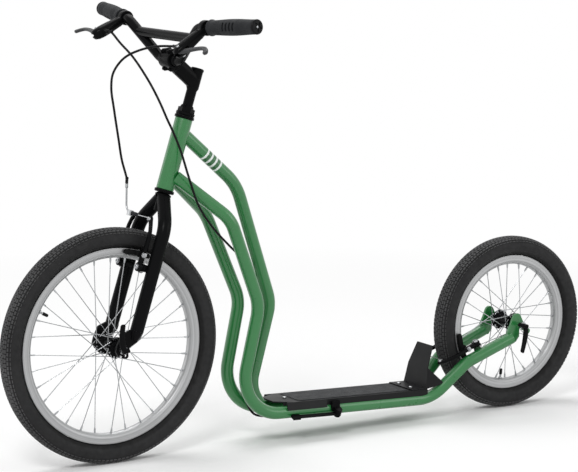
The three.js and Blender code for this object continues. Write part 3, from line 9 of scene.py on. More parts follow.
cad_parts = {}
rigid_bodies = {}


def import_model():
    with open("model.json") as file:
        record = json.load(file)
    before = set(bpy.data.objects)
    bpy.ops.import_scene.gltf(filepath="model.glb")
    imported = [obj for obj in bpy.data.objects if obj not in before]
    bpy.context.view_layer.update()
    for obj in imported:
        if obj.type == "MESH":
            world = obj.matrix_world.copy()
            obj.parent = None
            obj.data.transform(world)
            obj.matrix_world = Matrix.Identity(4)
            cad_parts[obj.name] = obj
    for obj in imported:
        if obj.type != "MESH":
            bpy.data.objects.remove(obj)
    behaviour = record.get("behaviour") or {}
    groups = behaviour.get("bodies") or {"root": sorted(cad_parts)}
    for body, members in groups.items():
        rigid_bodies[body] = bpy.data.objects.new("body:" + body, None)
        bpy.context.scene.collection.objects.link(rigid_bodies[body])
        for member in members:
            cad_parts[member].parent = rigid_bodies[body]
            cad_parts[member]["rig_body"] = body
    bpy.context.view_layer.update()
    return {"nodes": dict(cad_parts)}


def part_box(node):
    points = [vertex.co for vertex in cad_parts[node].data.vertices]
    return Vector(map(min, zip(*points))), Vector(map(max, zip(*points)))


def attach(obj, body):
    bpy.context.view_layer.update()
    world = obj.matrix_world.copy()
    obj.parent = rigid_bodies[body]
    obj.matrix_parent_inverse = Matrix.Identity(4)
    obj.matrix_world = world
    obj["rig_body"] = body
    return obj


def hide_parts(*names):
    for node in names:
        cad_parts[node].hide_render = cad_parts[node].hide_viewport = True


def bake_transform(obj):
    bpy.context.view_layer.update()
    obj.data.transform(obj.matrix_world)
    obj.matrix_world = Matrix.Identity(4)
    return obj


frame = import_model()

bl_info = {
    "name": "Kick bike",
    "version": (1, 0, 0),
    "blender": (4, 5, 0),
    "location": "3D View > Sidebar > Kick bike",
    "description": "Dresses the kick bike's frame with finished pieces, and sets it on a plain floor",
    "category": "Object",
}


def middle(node):
    low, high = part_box(node)
    return (low + high) / 2


# Places taken from the frame, and the steering axis through the front axle's level
FRONT_AXLE = middle("front_tyre")
REAR_AXLE = middle("rear_tyre")
LEAN = math.radians(17.5)
FORK_OFFSET = 0.0277
STEERING = Matrix.Translation(
    FRONT_AXLE + Vector((FORK_OFFSET * math.cos(LEAN), 0, -FORK_OFFSET * math.sin(LEAN)))
) @ Matrix.Rotation(LEAN, 4, "Y")
FRONT_WHEEL = Matrix.Translation(FRONT_AXLE)
REAR_WHEEL = Matrix.Translation(REAR_AXLE)

# The sides' names, and which way each lies along Y
HANDS = (("left", -1), ("right", 1))

# Steering column, along the steering axis from the front axle's level
HEAD_BOTTOM = 0.3495
HEAD_TOP = 0.5055
HEAD_RADIUS = 0.019
HEAD_BORE = 0.0155
CUP_RADIUS = 0.0215
CUP_HEIGHT = 0.0075
CUP_BORE = 0.0134
CROWN_TOP = 0.3356

# Frame tubes: (behind the front axle, half spread, height), then (ahead of the rear axle, half spread, height)
TUBE_RADIUS = 0.014
TUBE_STEP = 0.012
TUBE_INSET_SHARE = 0.6
SIDE_JOINT_RISE = 0.036
SIDE_JOINT_SPREAD = 0.0096
SIDE_PINCH = 0.062
SHOULDER_SPREAD = 0.054
SIDE_FRONT_CORNERS = ((0.263, 0.054, 0.511), (0.3435, 0.042, 0.314), (0.2905, 0.0375, 0.0712))
SIDE_REAR_CORNERS = ((0.2415, 0.0375, 0.0523), (0.152, 0.0505, 0.1295), (0.027, 0.0545, 0.175))
SIDE_BENDS = (0.080, 0.085, 0.090, 0.090, 0.060)
UPPER_JOINT_DROP = 0.028
UPPER_CORNERS = ((0.3082, 0, 0.578), (0.3975, 0, 0.309), (0.3476, 0, 0.126), (0.3775, 0, 0.071))
UPPER_BENDS = (0.120, 0.080, 0.070)
STRIPE_COUNT = 4
STRIPE_START = 0.0751
STRIPE_PITCH = 0.01385
STRIPE_SHARE = 0.35

# Fork legs, along the steering axis
LEG_RADIUS = 0.0145
LEG_SPREAD = 0.055
LEG_ADVANCE = 0.0067
LEG_BOTTOM = 0.046
LEG_SHOULDER = 0.273
LEG_BEND = 0.062
LEG_TOP_SPREAD = 0.005

# Handlebar, in the steering frame
BAR_RADIUS = 0.0111
SLEEVE_RADIUS = 0.0127
SLEEVE_HALF = 0.030
BAR_FLAT_END = (-0.0696, 0.038, 0.6169)
BAR_BEND_POINT = (-0.110, 0.150, 0.684)
BAR_END = (-0.0847, 0.326, 0.705)
BAR_BEND = 0.040
CROSSBAR_RADIUS = 0.0106
CROSSBAR_SPREAD = 0.115
GRIP_LENGTH = 0.138
GRIP_RADIUS = 0.0152
GRIP_BELLY = 0.017
GRIP_FLANGE_RADIUS = 0.0172
GRIP_FLANGE_WIDTH = 0.004
GRIP_SLOT_COUNT = 4
GRIP_SLOT_PITCH = 0.0104
GRIP_SLOT_WIDTH = 0.0048
GRIP_SLOT_DEPTH = 0.0044
GRIP_SLOT_HEIGHT = 0.018
GRIP_SLOT_START = 0.050
GRIP_SLOT_EDGE = 0.0002
GRIP_END = 0.003
GRIP_RIBS = 44
GRIP_RIB_DEPTH = 0.0006
GRIP_RIB_BANDS = ((0.08, 0.24), (0.66, 0.92))
GRIP_SLOT_TURNS = {"left": math.radians(-12), "right": math.radians(-75)}
PLUG_RADIUS = 0.0155
PLUG_RIM = 0.005
PLUG_RECESS = 0.002
PLUG_LOBES = 5
PLUG_LOBE_SIDES = 80

# Brake levers, each in a frame at its pivot with X back to the bar and Z along the pin
LEVER_SEAT = 0.173
LEVER_TILTS = {"left": math.radians(55), "right": math.radians(42)}
BLADE_RESTS = {"left": math.radians(8), "right": math.radians(2)}
LEVER_REACH = 0.075
LEVER_CLAMP_RADIUS = 0.016
LEVER_CLAMP_WIDTH = 0.015
LEVER_PIN_RADIUS = 0.003
LEVER_EYE_RADIUS = 0.009
BLADE_THICKNESS = 0.0064
BLADE_LENGTH = 0.092
BLADE_WIDTH = 0.012
BLADE_ROOM = 0.0004
SLOT_WALL = 0.0062
SLOT_REACH = 0.040
SLOT_FRONT = 0.030
SLOT_BACK = 0.016
PIN_FACE = 0.0122
PIN_ADVANCE = 0.001
SCREW_GAP = 0.004
BARREL_SETBACK = 0.011
BARREL_END = 0.0345

# Stem, in the steering frame
QUILL_RADIUS = 0.0111
STEM_BARREL_RADIUS = 0.0135
STEM_BARREL_BOTTOM = 0.568
STEM_BARREL_TOP = 0.611
STEM_CAP_RADIUS = 0.0145
STEM_CAP_HEIGHT = 0.006
STEM_ARM_HEIGHT = 0.035
STEM_ARM_WIDTH = 0.026
STEM_ARM_DROP = 0.030
STEM_ARM_STEPS = 8
CLAMP_RADIUS = 0.019
CLAMP_WIDTH = 0.042
CLAMP_SPLIT = 0.001
CLAMP_BOLT_RADIUS = 0.0036
CLAMP_BOLT_FACE = 0.0105
CLAMP_BOLTS = ((-0.013, -0.0185), (-0.013, 0.0185), (0.013, -0.0185), (0.013, 0.0185))

# The sheet on the footboard
SHEET_INSET = 0.0015
SHEET_CORNER = 0.008
SHEET_LAYERS = ((0.0001, 1), (0.0006, 1), (0.0009, 0.998))

# Rivet heads: their lowest height over the panel, the height they span, their spacing and reach aside, their domes
RIVET_FLOORS = (("footboard", 0.001), ("heel_guard", 0.0035))
RIVET_BAND = 0.0014
RIVET_SPREAD = 0.024
RIVET_REACH = 0.033
RIVET_DOME = ((0, -0.0015), (0.0046, -0.0015), (0.0044, 0.0001), (0.0034, 0.0008), (0.0018, 0.0012), (0, 0.0013))

# Quick release levers, built pointing up and turned about the axle
RELEASE_ANGLES = {"front": math.radians(-12), "rear": math.radians(195)}
RELEASE_HEADS = {"front": 0.35, "rear": 1}
RELEASE_PIVOT = 0.0704
RELEASE_RADIUS = 0.0047
RELEASE_SPOTS = ((0.020, -0.0704, 0), (0.011, -0.0704, 0), (0.003, -0.0705, 0.0006), (-0.0035, -0.0712, 0.005),
                 (-0.0055, -0.0730, 0.018), (-0.004, -0.0775, 0.042), (0, -0.0824, 0.062))

# Brake arms: distance out, height over the stud, half width and half depth of each section
BRAKE_ARM_SECTIONS = (
    (0.0415, -0.0035, 0.0045, 0.0045), (0.0420, 0.003, 0.0068, 0.0052), (0.0430, 0.014, 0.0066, 0.0050),
    (0.0442, 0.027, 0.0072, 0.0052), (0.0470, 0.038, 0.0058, 0.0046), (0.0492, 0.052, 0.0050, 0.0042),
    (0.0495, 0.066, 0.0046, 0.0040), (0.0472, 0.080, 0.0044, 0.0038), (0.0425, 0.092, 0.0046, 0.0038),
    (0.0382, 0.100, 0.0054, 0.0040), (0.0370, 0.106, 0.0048, 0.0038), (0.0368, 0.1095, 0.0026, 0.0026))

# The lever bracket's sections: place along X, half width, half height, and how far it lies to the cable's side
BRACKET_SECTIONS = (
    (0.068, 0.0080, 0.0085, 0), (0.060, 0.0095, 0.0098, 0), (0.046, 0.0108, 0.0110, 0.001),
    (0.032, 0.0125, 0.0120, 0.002), (0.018, 0.0145, 0.0126, 0.003), (0.006, 0.0150, 0.0126, 0.0034),
    (-0.004, 0.0128, 0.0118, 0.003), (-0.0105, 0.0092, 0.0098, 0.0022), (-0.013, 0.005, 0.006, 0.0015))

# Wheels
HUB_HALF_LENGTH = 0.043
HUB_END_RADIUS = 0.011
HUB_BARREL_RADIUS = 0.012
HUB_BORE = 0.005
FLANGE_RADIUS = 0.023
FLANGE_THICKNESS = 0.003
FLANGE_SPREAD = 0.028
FLANGE_HOLE_INSET = 0.003
SPOKE_CROSSINGS = 3
RIM_WIDTH = 0.026
RIM_DEPTH = 0.022
RIM_WELL_DEPTH = 0.006
RIM_WELL_WIDTH = 0.017
SEAT_GAP = 0.0003
RIM_EDGE = 0.0004
RIM_STEP = 0.0015
VALVE_STEM = 0.010
VALVE_CAP = 0.013
VALVE_RADIUS = 0.0026
VALVE_NUT_RADIUS = 0.0048
THREAD_PITCH = 0.0005
THREAD_DEPTH = 0.0003
NIPPLE_RADIUS = 0.0021
NIPPLE_SHOULDER = 0.0065
NIPPLE_LENGTH = 0.012

# Brakes on both wheels
BRAKE_PIVOT_SPREAD = 0.042
BRAKE_PIVOT_DROP = 0.027
BRAKE_TRACK_INSET = 0.0065
BRAKE_ARM_ADVANCE = 0.007
BRAKE_ARM_THICKNESS = 0.011
BRAKE_STUD_RADIUS = 0.004
BRAKE_EYE_RADIUS = 0.0098
REAR_BRAKE_ANGLE = math.radians(19.5)
SPRING_RADIUS = 0.0112
SPRING_WIRE_RADIUS = 0.0006
SPRING_RISE = 0.0004
NUT_GAP = 0.0072
WASHER_RADIUS = 0.0062
NUT_RADIUS = 0.0048
PAD_GAP = 0.002
PAD_THICKNESS = 0.009
PAD_HALF_LENGTH = 0.031
PAD_HALF_HEIGHT = 0.0055
PAD_GROOVE = 0.0012
PAD_POST_GAP = 0.0095

# The pull between the two arms: its height over the stud, and places out from the wheel's middle
PULL_RISE = 0.105
PULL_ADVANCE = 0.0173
NOODLE_CORNER = 0.055
NOODLE_INNER = 0.028
NOODLE_BEND = 0.018
NOODLE_RADIUS = 0.0021
NOODLE_MOUTHS = {"front": Vector((-0.017, 0, 0.058)), "rear": Vector((0.026, 0, 0))}
WIRE_RADIUS = 0.0009
LINK_HALF = 0.006
LINK_OUTLINE = ((-0.0045, 0.034), (-0.0045, 0.043), (0, 0.0455), (0.0045, 0.043), (0.0045, 0.034), (0.003, 0.0305),
                (-0.003, 0.0305))
BOOT_RIBS = 6
BOOT_PITCH = 0.0036

# Cable routes in millimetres, the same points as their solids have
CABLE_RADIUS = 0.0025
FERRULE_RADIUS = 0.0033
FERRULE_LENGTH = 0.014
FRONT_CABLE = (
    (-422.1, -138.1, 892.75), (-422.1, -128.5, 892.75), (-445, -105, 892), (-471, -75, 883), (-492, -45, 865),
    (-503, -20, 835), (-496, 4, 800), (-479, 24, 751), (-459, 42, 686), (-446, 52, 640), (-432.62, 55, 598.05),
    (-432.81, 55, 588.45))
REAR_CABLE = (
    (-429.57, 138.1, 905.17), (-429.57, 128.5, 905.17), (-421, 105, 884), (-406, 75, 855), (-390, 30, 803),
    (-379, 5, 762), (-371, -12, 728), (-364, -20, 707), (-351, -32, 665), (-336, -44, 604), (-316, -50, 545),
    (-276, -42, 494), (-226, -24, 450), (-180, -8, 412), (-152, 8, 380), (-133, 20, 345), (-130, 22, 300),
    (-146, 22, 220), (-158, 24, 160), (-160, 18, 108), (-143, 8, 62), (-112, 4, 52), (-50, 4, 58), (60, 6, 62),
    (130, 8, 58), (175, 18, 42), (208, 33, 35), (243, 50, 36), (278, 60, 50), (308, 63, 74),
    (341.46, 55, 108.43), (338.26, 55, 117.48))

# Mesh quality
MERGE = 0.00001
FLAT = math.radians(1)
CREASE = 35
ROUND_SIDES = 48
WHEEL_SEGMENTS = 144


def length_property(name, description, default):
    return FloatProperty(name=name, description=description, default=default, unit="LENGTH")


def count_property(name, description, default):
    return IntProperty(name=name, description=description, default=default)


def colour_property(name, description, red, green, blue):
    return FloatVectorProperty(
        name=name, description=description, subtype="COLOR", size=4, min=0, max=1, default=(red, green, blue, 1))


class KickBikeSizes(bpy.types.PropertyGroup):
    """Sizes that the pieces are made from"""

    front_tyre_radius: length_property("Front tyre radius", "Outer radius of the front tyre", 0.253)
    rear_tyre_radius: length_property("Rear tyre radius", "Outer radius of the rear tyre", 0.203)
    front_rim_radius: length_property("Front rim radius", "Outer radius of the front rim", 0.211)
    rear_rim_radius: length_property("Rear rim radius", "Outer radius of the rear rim", 0.159)
    tyre_width: length_property("Tyre width", "Width of both tyres", 0.049)
    tread_depth: length_property("Tread depth", "Height of the tread blocks", 0.0019)
    front_tread_pitches: count_property("Front tread pitches", "Rows of tread blocks round the front tyre", 160)
    rear_tread_pitches: count_property("Rear tread pitches", "Rows of tread blocks round the rear tyre", 128)
    front_spokes: count_property("Front spokes", "Number of spokes in the front wheel", 32)
    rear_spokes: count_property("Rear spokes", "Number of spokes in the rear wheel", 28)
    spoke_radius: length_property("Spoke radius", "Radius of a spoke", 0.001)


class KickBikeColours(bpy.types.PropertyGroup):
    """Colours of the finishes"""

    frame_green: colour_property("Frame green", "Enamel on the frame tubes", 0.017, 0.172, 0.040)
    stripe_white: colour_property("Stripe white", "Rings sprayed round the upper tube", 0.78, 0.82, 0.80)
    plate_black: colour_property("Plate black", "Powder coat on the heel guard", 0.0062, 0.0064, 0.0072)
    gloss_black: colour_property("Gloss black", "Paint on the fork, the bars and the brakes", 0.0045, 0.0046, 0.005)
    board_grey: colour_property("Board grey", "Grip coating on the footboard", 0.018, 0.019, 0.0205)
    board_edge: colour_property("Board edge", "Coating on the footboard's plate and lips", 0.009, 0.0093, 0.0098)
    lever_grey: colour_property("Lever grey", "Coating on the brake levers", 0.045, 0.046, 0.048)
    alloy: colour_property("Alloy", "Anodised rims", 0.46, 0.465, 0.47)
    steel: colour_property("Steel", "Spokes, axles and screws", 0.42, 0.43, 0.44)
    tyre: colour_property("Tyre", "Tyre rubber", 0.0115, 0.0115, 0.012)
    # Lighter than the tyre's rubber: a painted highlight on the tops of the tread blocks.
    tread: colour_property("Tread", "Worn tops of the tread blocks", 0.046, 0.046, 0.047)
    pad: colour_property("Pad", "Rubber of the brake pads", 0.006, 0.006, 0.0062)
    grip: colour_property("Grip", "Grip rubber", 0.018, 0.019, 0.021)
    plastic: colour_property("Plastic", "Cable housings, caps and plugs", 0.006, 0.006, 0.0065)
    floor: colour_property("Floor", "Studio floor and background", 0.97, 0.97, 0.97)


UPPER_JOINT = STEERING @ Vector((0, 0, HEAD_TOP - UPPER_JOINT_DROP))


def upper_heading():
    """The direction of the upper tube's first straight run."""
    reach, side, height = UPPER_CORNERS[0]
    return (Vector((FRONT_AXLE.x + reach, side, height)) - UPPER_JOINT).normalized()


def sizes():
    return bpy.context.scene.kick_bike_sizes


def colours():
    return bpy.context.scene.kick_bike_colours


# Materials
NOISE_LOW, NOISE_HIGH = 0.3, 0.7
PEEL_SCALE = 420
COAT_ROUGHNESS = 0.06


def shade_of(colour, share, lift=0):
    """A darker or lighter shade of a colour."""
    return [min(1, c * share + lift) for c in colour[:3]] + [1]


class Shading:
    """A material's node tree, with short calls for the nodes that the finishes share."""

    def __init__(self, name):
        self.material = bpy.data.materials.new(name)
        self.material.use_nodes = True
        self.nodes = self.material.node_tree.nodes
        self.links = self.material.node_tree.links
        self.shader = self.nodes["Principled BSDF"]
        self.place = self.nodes.new("ShaderNodeTexCoord").outputs["Object"]

    def add(self, kind, **values):
        node = self.nodes.new(kind)
        for key, value in values.items():
            setattr(node, key, value)
        return node

    def join(self, source, target):
        self.links.new(source, target)

    def noise(self, scale, detail=4, roughness=0.5, place=None, stretch=None):
        node = self.add("ShaderNodeTexNoise")
        node.inputs["Scale"].default_value = scale
        node.inputs["Detail"].default_value = detail
        node.inputs["Roughness"].default_value = roughness
        source = place or self.place
        if stretch:
            mapping = self.add("ShaderNodeMapping")
            mapping.inputs["Scale"].default_value = stretch
            self.join(source, mapping.inputs["Vector"])
            source = mapping.outputs["Vector"]
        self.join(source, node.inputs["Vector"])
        return node.outputs["Fac"]

    def cells(self, scale):
        node = self.add("ShaderNodeTexVoronoi")
        node.inputs["Scale"].default_value = scale
        self.join(self.place, node.inputs["Vector"])
        return node.outputs["Distance"]

    def math(self, operation, *values):
        node = self.add("ShaderNodeMath", operation=operation)
        for socket, value in zip(node.inputs, values):
            if isinstance(value, (int, float)):
                socket.default_value = value
            else:
                self.join(value, socket)
        return node.outputs[0]

    def spread(self, value, low, high, out_low, out_high):
        node = self.add("ShaderNodeMapRange")
        self.join(value, node.inputs["Value"])
        for key, number in (("From Min", low), ("From Max", high), ("To Min", out_low), ("To Max", out_high)):
            node.inputs[key].default_value = number
        return node.outputs["Result"]

    def roughness(self, scale, detail, low, high):
        """A roughness that wanders between two values."""
        return self.spread(self.noise(scale, detail), NOISE_LOW, NOISE_HIGH, low, high)

    def blend(self, factor, a, b):
        """Colour a where factor is 0 and colour b where it is 1."""
        node = self.add("ShaderNodeMix", data_type="RGBA")
        sockets = [socket for socket in node.inputs if socket.type == "RGBA"]
        for socket, value in zip(sockets, (a, b)):
            if isinstance(value, bpy.types.NodeSocket):
                self.join(value, socket)
            else:
                socket.default_value = value
        self.join(factor, node.inputs[0])
        return next(socket for socket in node.outputs if socket.type == "RGBA")

    def shades(self, factor, colour, darker, lighter):
        """A colour that wanders between a darker and a lighter shade of itself."""
        return self.blend(factor, shade_of(colour, darker), shade_of(colour, lighter))

    def bump(self, height, strength, distance, below=None):
        node = self.add("ShaderNodeBump")
        node.inputs["Strength"].default_value = strength
        node.inputs["Distance"].default_value = distance
        self.join(height, node.inputs["Height"])
        if below is not None:
            self.join(below, node.inputs["Normal"])
        return node.outputs["Normal"]

    def finish(self, colour=None, roughness=None, normal=None, **constants):
        for key, source in (("Base Color", colour), ("Roughness", roughness), ("Normal", normal)):
            if source is not None:
                self.join(source, self.shader.inputs[key])
        for key, value in constants.items():
            self.shader.inputs[key.replace("_", " ")].default_value = value
        return self.material


def enamel(name, colour, low_roughness, high_roughness, coat, shine=0.5):
    """Sprayed paint: slight drift in shade, soft orange peel and a clear coat."""
    s = Shading(name)
    shade = s.shades(s.noise(9, 3), colour, 0.92, 1.08)
    peel = s.noise(PEEL_SCALE, 2)
    dust = s.noise(2600, 2)
    roughness = s.roughness(35, 5, low_roughness, high_roughness)
    normal = s.bump(dust, 0.05, 0.0001, s.bump(peel, 0.10, 0.0003))
    return s.finish(
        shade, roughness, normal, Coat_Weight=coat, Coat_Roughness=COAT_ROUGHNESS, Specular_IOR_Level=shine)


def striped_enamel(name, colour, stripe, origin, along):
    """The tube's enamel with white rings sprayed round it, square to its run."""
    s = Shading(name)
    along_run = s.add("ShaderNodeVectorMath", operation="DOT_PRODUCT")
    s.join(s.place, along_run.inputs[0])
    along_run.inputs[1].default_value = along
    wavy = s.math("MULTIPLY", s.math("SUBTRACT", s.noise(260, 3), 0.5), 0.0009)
    run = s.math("ADD", along_run.outputs["Value"], wavy)
    pitch = s.math("DIVIDE", s.math("SUBTRACT", run, origin.dot(along) + STRIPE_START), STRIPE_PITCH)
    begun = s.math("GREATER_THAN", pitch, 0.0)
    ended = s.math("LESS_THAN", pitch, STRIPE_COUNT - 1 + STRIPE_SHARE)
    ring = s.math("LESS_THAN", s.math("FRACT", pitch), STRIPE_SHARE)
    between = s.math("MULTIPLY", begun, ended)
    painted = s.math("MULTIPLY", between, ring)
    green = s.shades(s.noise(9, 3), colour, 0.92, 1.08)
    shaded = s.blend(s.math("MULTIPLY", between, 0.5), green, shade_of(colour, 0.35))
    shade = s.blend(painted, shaded, stripe)
    roughness = s.roughness(35, 5, 0.26, 0.36)
    normal = s.bump(painted, 0.3, 0.0001, s.bump(s.noise(PEEL_SCALE, 2), 0.10, 0.0003))
    return s.finish(shade, roughness, normal, Coat_Weight=0.45, Coat_Roughness=COAT_ROUGHNESS)


def grip_coating(name, colour):
    """The footboard's gritty coating: fine grains of two greys, dull all over."""
    s = Shading(name)
    grain = s.cells(1500)
    speck = s.noise(1100, 3, 0.7)
    shade = s.shades(s.spread(speck, 0.35, 0.65, 0, 1), colour, 0.6, 1.9)
    roughness = s.roughness(60, 4, 0.66, 0.85)
    normal = s.bump(grain, 0.45, 0.0006, s.bump(s.noise(18, 3), 0.05, 0.001))
    return s.finish(shade, roughness, normal, Specular_IOR_Level=0.3)


def satin_plate(name, colour):
    """Powder-coated plate: fine texture, with rubbed and duller patches."""
    s = Shading(name)
    shade = s.shades(s.noise(26, 5), colour, 0.85, 1.2)
    roughness = s.roughness(14, 5, 0.36, 0.52)
    normal = s.bump(s.noise(900, 3), 0.16, 0.0003)
    return s.finish(shade, roughness, normal, Specular_IOR_Level=0.15)


def turned_alloy(name, colour, axle):
    """An anodised rim: fine turning lines round the axle."""
    s = Shading(name)
    mapping = s.add("ShaderNodeMapping")
    mapping.inputs["Location"].default_value = [-value for value in axle]
    s.join(s.place, mapping.inputs["Vector"])
    apart = s.add("ShaderNodeSeparateXYZ")
    s.join(mapping.outputs["Vector"], apart.inputs[0])
    flat = s.math("SQRT", s.math("ADD", s.math("POWER", apart.outputs["X"], 2.0),
                                 s.math("POWER", apart.outputs["Z"], 2.0)))
    ringed = s.add("ShaderNodeCombineXYZ")
    s.join(flat, ringed.inputs[0])
    s.join(apart.outputs["Y"], ringed.inputs[1])
    lines = s.noise(1400, 3, 0.6, place=ringed.outputs[0], stretch=(1, 0.15, 1))
    shade = s.shades(s.noise(16, 4), colour, 0.94, 1.05)
    streaks = s.noise(300, 3, 0.7, place=ringed.outputs[0], stretch=(1, 0.15, 1))
    shade = s.blend(s.spread(streaks, 0.4, 0.65, 0, 0.6), shade, shade_of(colour, 0.5))
    roughness = s.spread(lines, NOISE_LOW, NOISE_HIGH, 0.34, 0.5)
    normal = s.bump(lines, 0.2, 0.0003)
    return s.finish(shade, roughness, normal, Metallic=0.78)


def drawn_steel(name, colour):
    """Drawn and plated steel: bright, with faint stains."""
    s = Shading(name)
    shade = s.shades(s.noise(40, 5), colour, 0.85, 1.12)
    roughness = s.roughness(220, 4, 0.2, 0.36)
    normal = s.bump(s.noise(1500, 2), 0.06, 0.0001)
    return s.finish(shade, roughness, normal, Metallic=0.95)


def rubber(name, colour, dusty, grain, shine, painted_shade_band=0):
    """Moulded rubber: mottled, dusty on top, finely grained, and darker within a band's half width of Y: painted shade
    on the tyre's crown, where the casing lies between the tread blocks.
    """
    s = Shading(name)
    mottled = s.shades(s.noise(24, 6, 0.6), colour, 0.7, 1.3)
    dust = s.spread(s.noise(7, 5, 0.6), 0.45, 0.75, 0, dusty)
    shade = s.blend(dust, mottled, shade_of(colour, 3.2, 0.01))
    # Painted shade: within the band's half width of Y the casing is darkened, where it lies in the shade between and
    # under the tread blocks.
    if painted_shade_band:
        apart = s.add("ShaderNodeSeparateXYZ")
        s.join(s.place, apart.inputs[0])
        inside = s.spread(s.math("ABSOLUTE", apart.outputs["Y"]), painted_shade_band, painted_shade_band * 1.15, 1, 0)
        shade = s.blend(inside, shade, shade_of(colour, 0.35))
    roughness = s.roughness(90, 4, 0.62, 0.82)
    normal = s.bump(s.noise(grain, 3), 0.22, 0.0003)
    return s.finish(shade, roughness, normal, Specular_IOR_Level=shine)


def moulded(name, colour):
    """Moulded plastic: an even black with a fine spark-eroded grain."""
    s = Shading(name)
    shade = s.shades(s.noise(30, 4), colour, 0.85, 1.2)
    roughness = s.roughness(200, 4, 0.34, 0.5)
    normal = s.bump(s.noise(1800, 3), 0.10, 0.0002)
    return s.finish(shade, roughness, normal, Specular_IOR_Level=0.1)


FINISHES = {}


def make_finishes():
    """Fills in the finishes from the colours that are set."""
    c = colours()
    FINISHES.update({
        "green_paint": enamel("green_enamel", c.frame_green, 0.26, 0.36, 0.45),
        "striped_paint": striped_enamel(
            "striped_green_enamel", c.frame_green, c.stripe_white, UPPER_JOINT, upper_heading()),
        "black_paint": enamel("gloss_black_paint", c.gloss_black, 0.18, 0.28, 0.01, 0.04),
        "charcoal": satin_plate("satin_black_plate", c.plate_black),
        "board": grip_coating("footboard_grip_coating", c.board_grey),
        "board_edge": satin_plate("footboard_edge", c.board_edge),
        "lever_grey": satin_plate("satin_lever_grey", c.lever_grey),
        "front_alloy": turned_alloy("front_rim_alloy", c.alloy, FRONT_AXLE),
        "rear_alloy": turned_alloy("rear_rim_alloy", c.alloy, REAR_AXLE),
        "steel": drawn_steel("plated_steel", c.steel),
        # The tyre's casing gets painted shade across its crown, between the tread blocks.
        "tyre_rubber": rubber("tyre_rubber", c.tyre, 0.16, 1300, 0.3, 0.0185),
        # The tread blocks' lighter rubber is a painted highlight on their tops.
        "tread_rubber_painted_highlight": rubber("tread_rubber_painted_highlight", c.tread, 0.4, 900, 0.3),
        "grip_rubber": rubber("grip_rubber", c.grip, 0.05, 2200, 0.2),
        "pad_rubber": rubber("pad_rubber", c.pad, 0.05, 1500, 0.1),
        "plastic": moulded("moulded_plastic", c.plastic),
    })


# Mesh helpers
def new_mesh(name, shape):
    """The mesh of a bmesh, with its faces pointing outwards; the bmesh is freed."""
    mesh = bpy.data.meshes.new(name)
    bmesh.ops.recalc_face_normals(shape, faces=shape.faces)
    shape.to_mesh(mesh)
    shape.free()
    return mesh


def new_object(name, data):
    thing = bpy.data.objects.new(name, data)
    bpy.context.scene.collection.objects.link(thing)
    return thing


def shade_smooth(mesh, crease):
    """Smooth shading, with the edges past an angle in degrees kept sharp."""
    mesh.polygons.foreach_set("use_smooth", [True] * len(mesh.polygons))
    mesh.set_sharp_from_angle(angle=math.radians(crease))


def attached(thing, body, nodes):
    """Rides a piece on its body, if it has one, and hides the CAD nodes that it stands for."""
    if body:
        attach(thing, body)
    if nodes:
        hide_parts(*nodes)
    return thing


def piece(name, shape, finish, body, nodes=(), crease=CREASE):
    """Turns a bmesh into a finished piece that rides on a body and stands for its CAD nodes."""
    mesh = new_mesh(name, shape)
    mesh.materials.append(FINISHES[finish])
    shade_smooth(mesh, crease)
    return attached(new_object(name, mesh), body, nodes)


def body_of(node):
    return frame["nodes"][node]["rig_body"]


def add_rings(shape, rings):
    """Joins rings of points, each of the same length, into a tube with closed ends."""
    made = [[shape.verts.new(point) for point in ring] for ring in rings]
    count = len(made[0])
    for lower, upper in zip(made, made[1:]):
        for i in range(count):
            j = (i + 1) % count
            shape.faces.new((lower[i], lower[j], upper[j], upper[i]))
    shape.faces.new(list(reversed(made[0])))
    shape.faces.new(made[-1])


def add_lathe(shape, profile, place, segments=ROUND_SIDES, axis="Z"):
    """Turns a closed profile of (radius, height) points about an axis; points at radius 0 become poles."""
    rows = []
    for radius, height in profile:
        if radius <= 0:
            local = Vector((0, 0, height)) if axis == "Z" else Vector((0, height, 0))
            rows.append([shape.verts.new(place @ local)])
            continue
        row = []
        for i in range(segments):
            angle = math.tau * i / segments
            a, b = radius * math.cos(angle), radius * math.sin(angle)
            local = Vector((a, b, height)) if axis == "Z" else Vector((a, height, b))
            row.append(shape.verts.new(place @ local))
        rows.append(row)
    closed = profile[0][0] > 0 and profile[-1][0] > 0
    pairs = list(zip(rows, rows[1:])) + ([(rows[-1], rows[0])] if closed else [])
    for lower, upper in pairs:
        for i in range(segments):
            j = (i + 1) % segments
            corners = [lower[i % len(lower)], lower[j % len(lower)], upper[j % len(upper)], upper[i % len(upper)]]
            distinct = list(dict.fromkeys(corners))
            if len(distinct) > 2:
                shape.faces.new(distinct)


def lathed(profile, place, segments=ROUND_SIDES, axis="Z"):
    """A new shape turned from a profile."""
    shape = bmesh.new()
    add_lathe(shape, profile, place, segments, axis)
    return shape


def eased(profile, radius, steps=3, closed=False):
    """The same line of points with its corners rounded."""
    count = len(profile)
    result = []
    for i, point in enumerate(profile):
        ends = i in (0, count - 1) and not closed
        if ends:
            result.append(point)
            continue
        before, here, after = (Vector(profile[k % count]) for k in (i - 1, i, i + 1))
        into, out = before - here, after - here
        reach = min(radius, into.length * 0.45, out.length * 0.45)
        if reach <= 0:
            result.append(point)
            continue
        start = here + into.normalized() * reach
        end = here + out.normalized() * reach
        for k in range(steps + 1):
            t = k / steps
            blended = start * (1 - t) ** 2 + here * 2 * t * (1 - t) + end * t ** 2
            result.append(tuple(blended))
    return result


def bent_route(corners, bends, step=4):
    """Points along straight runs with a round bend at each inner corner."""
    corners = [Vector(corner) for corner in corners]
    route = [corners[0]]
    for i in range(1, len(corners) - 1):
        into = (corners[i] - corners[i - 1]).normalized()
        out = (corners[i + 1] - corners[i]).normalized()
        angle = into.angle(out)
        axis = into.cross(out).normalized()
        tangent = bends[i - 1] * math.tan(angle / 2)
        start = corners[i] - into * tangent
        centre = start + axis.cross(into) * bends[i - 1]
        steps = max(1, math.ceil(math.degrees(angle) / step))
        for k in range(steps + 1):
            swing = Quaternion(axis, angle * k / steps)
            route.append(centre + swing @ (start - centre))
    route.append(corners[-1])
    return route


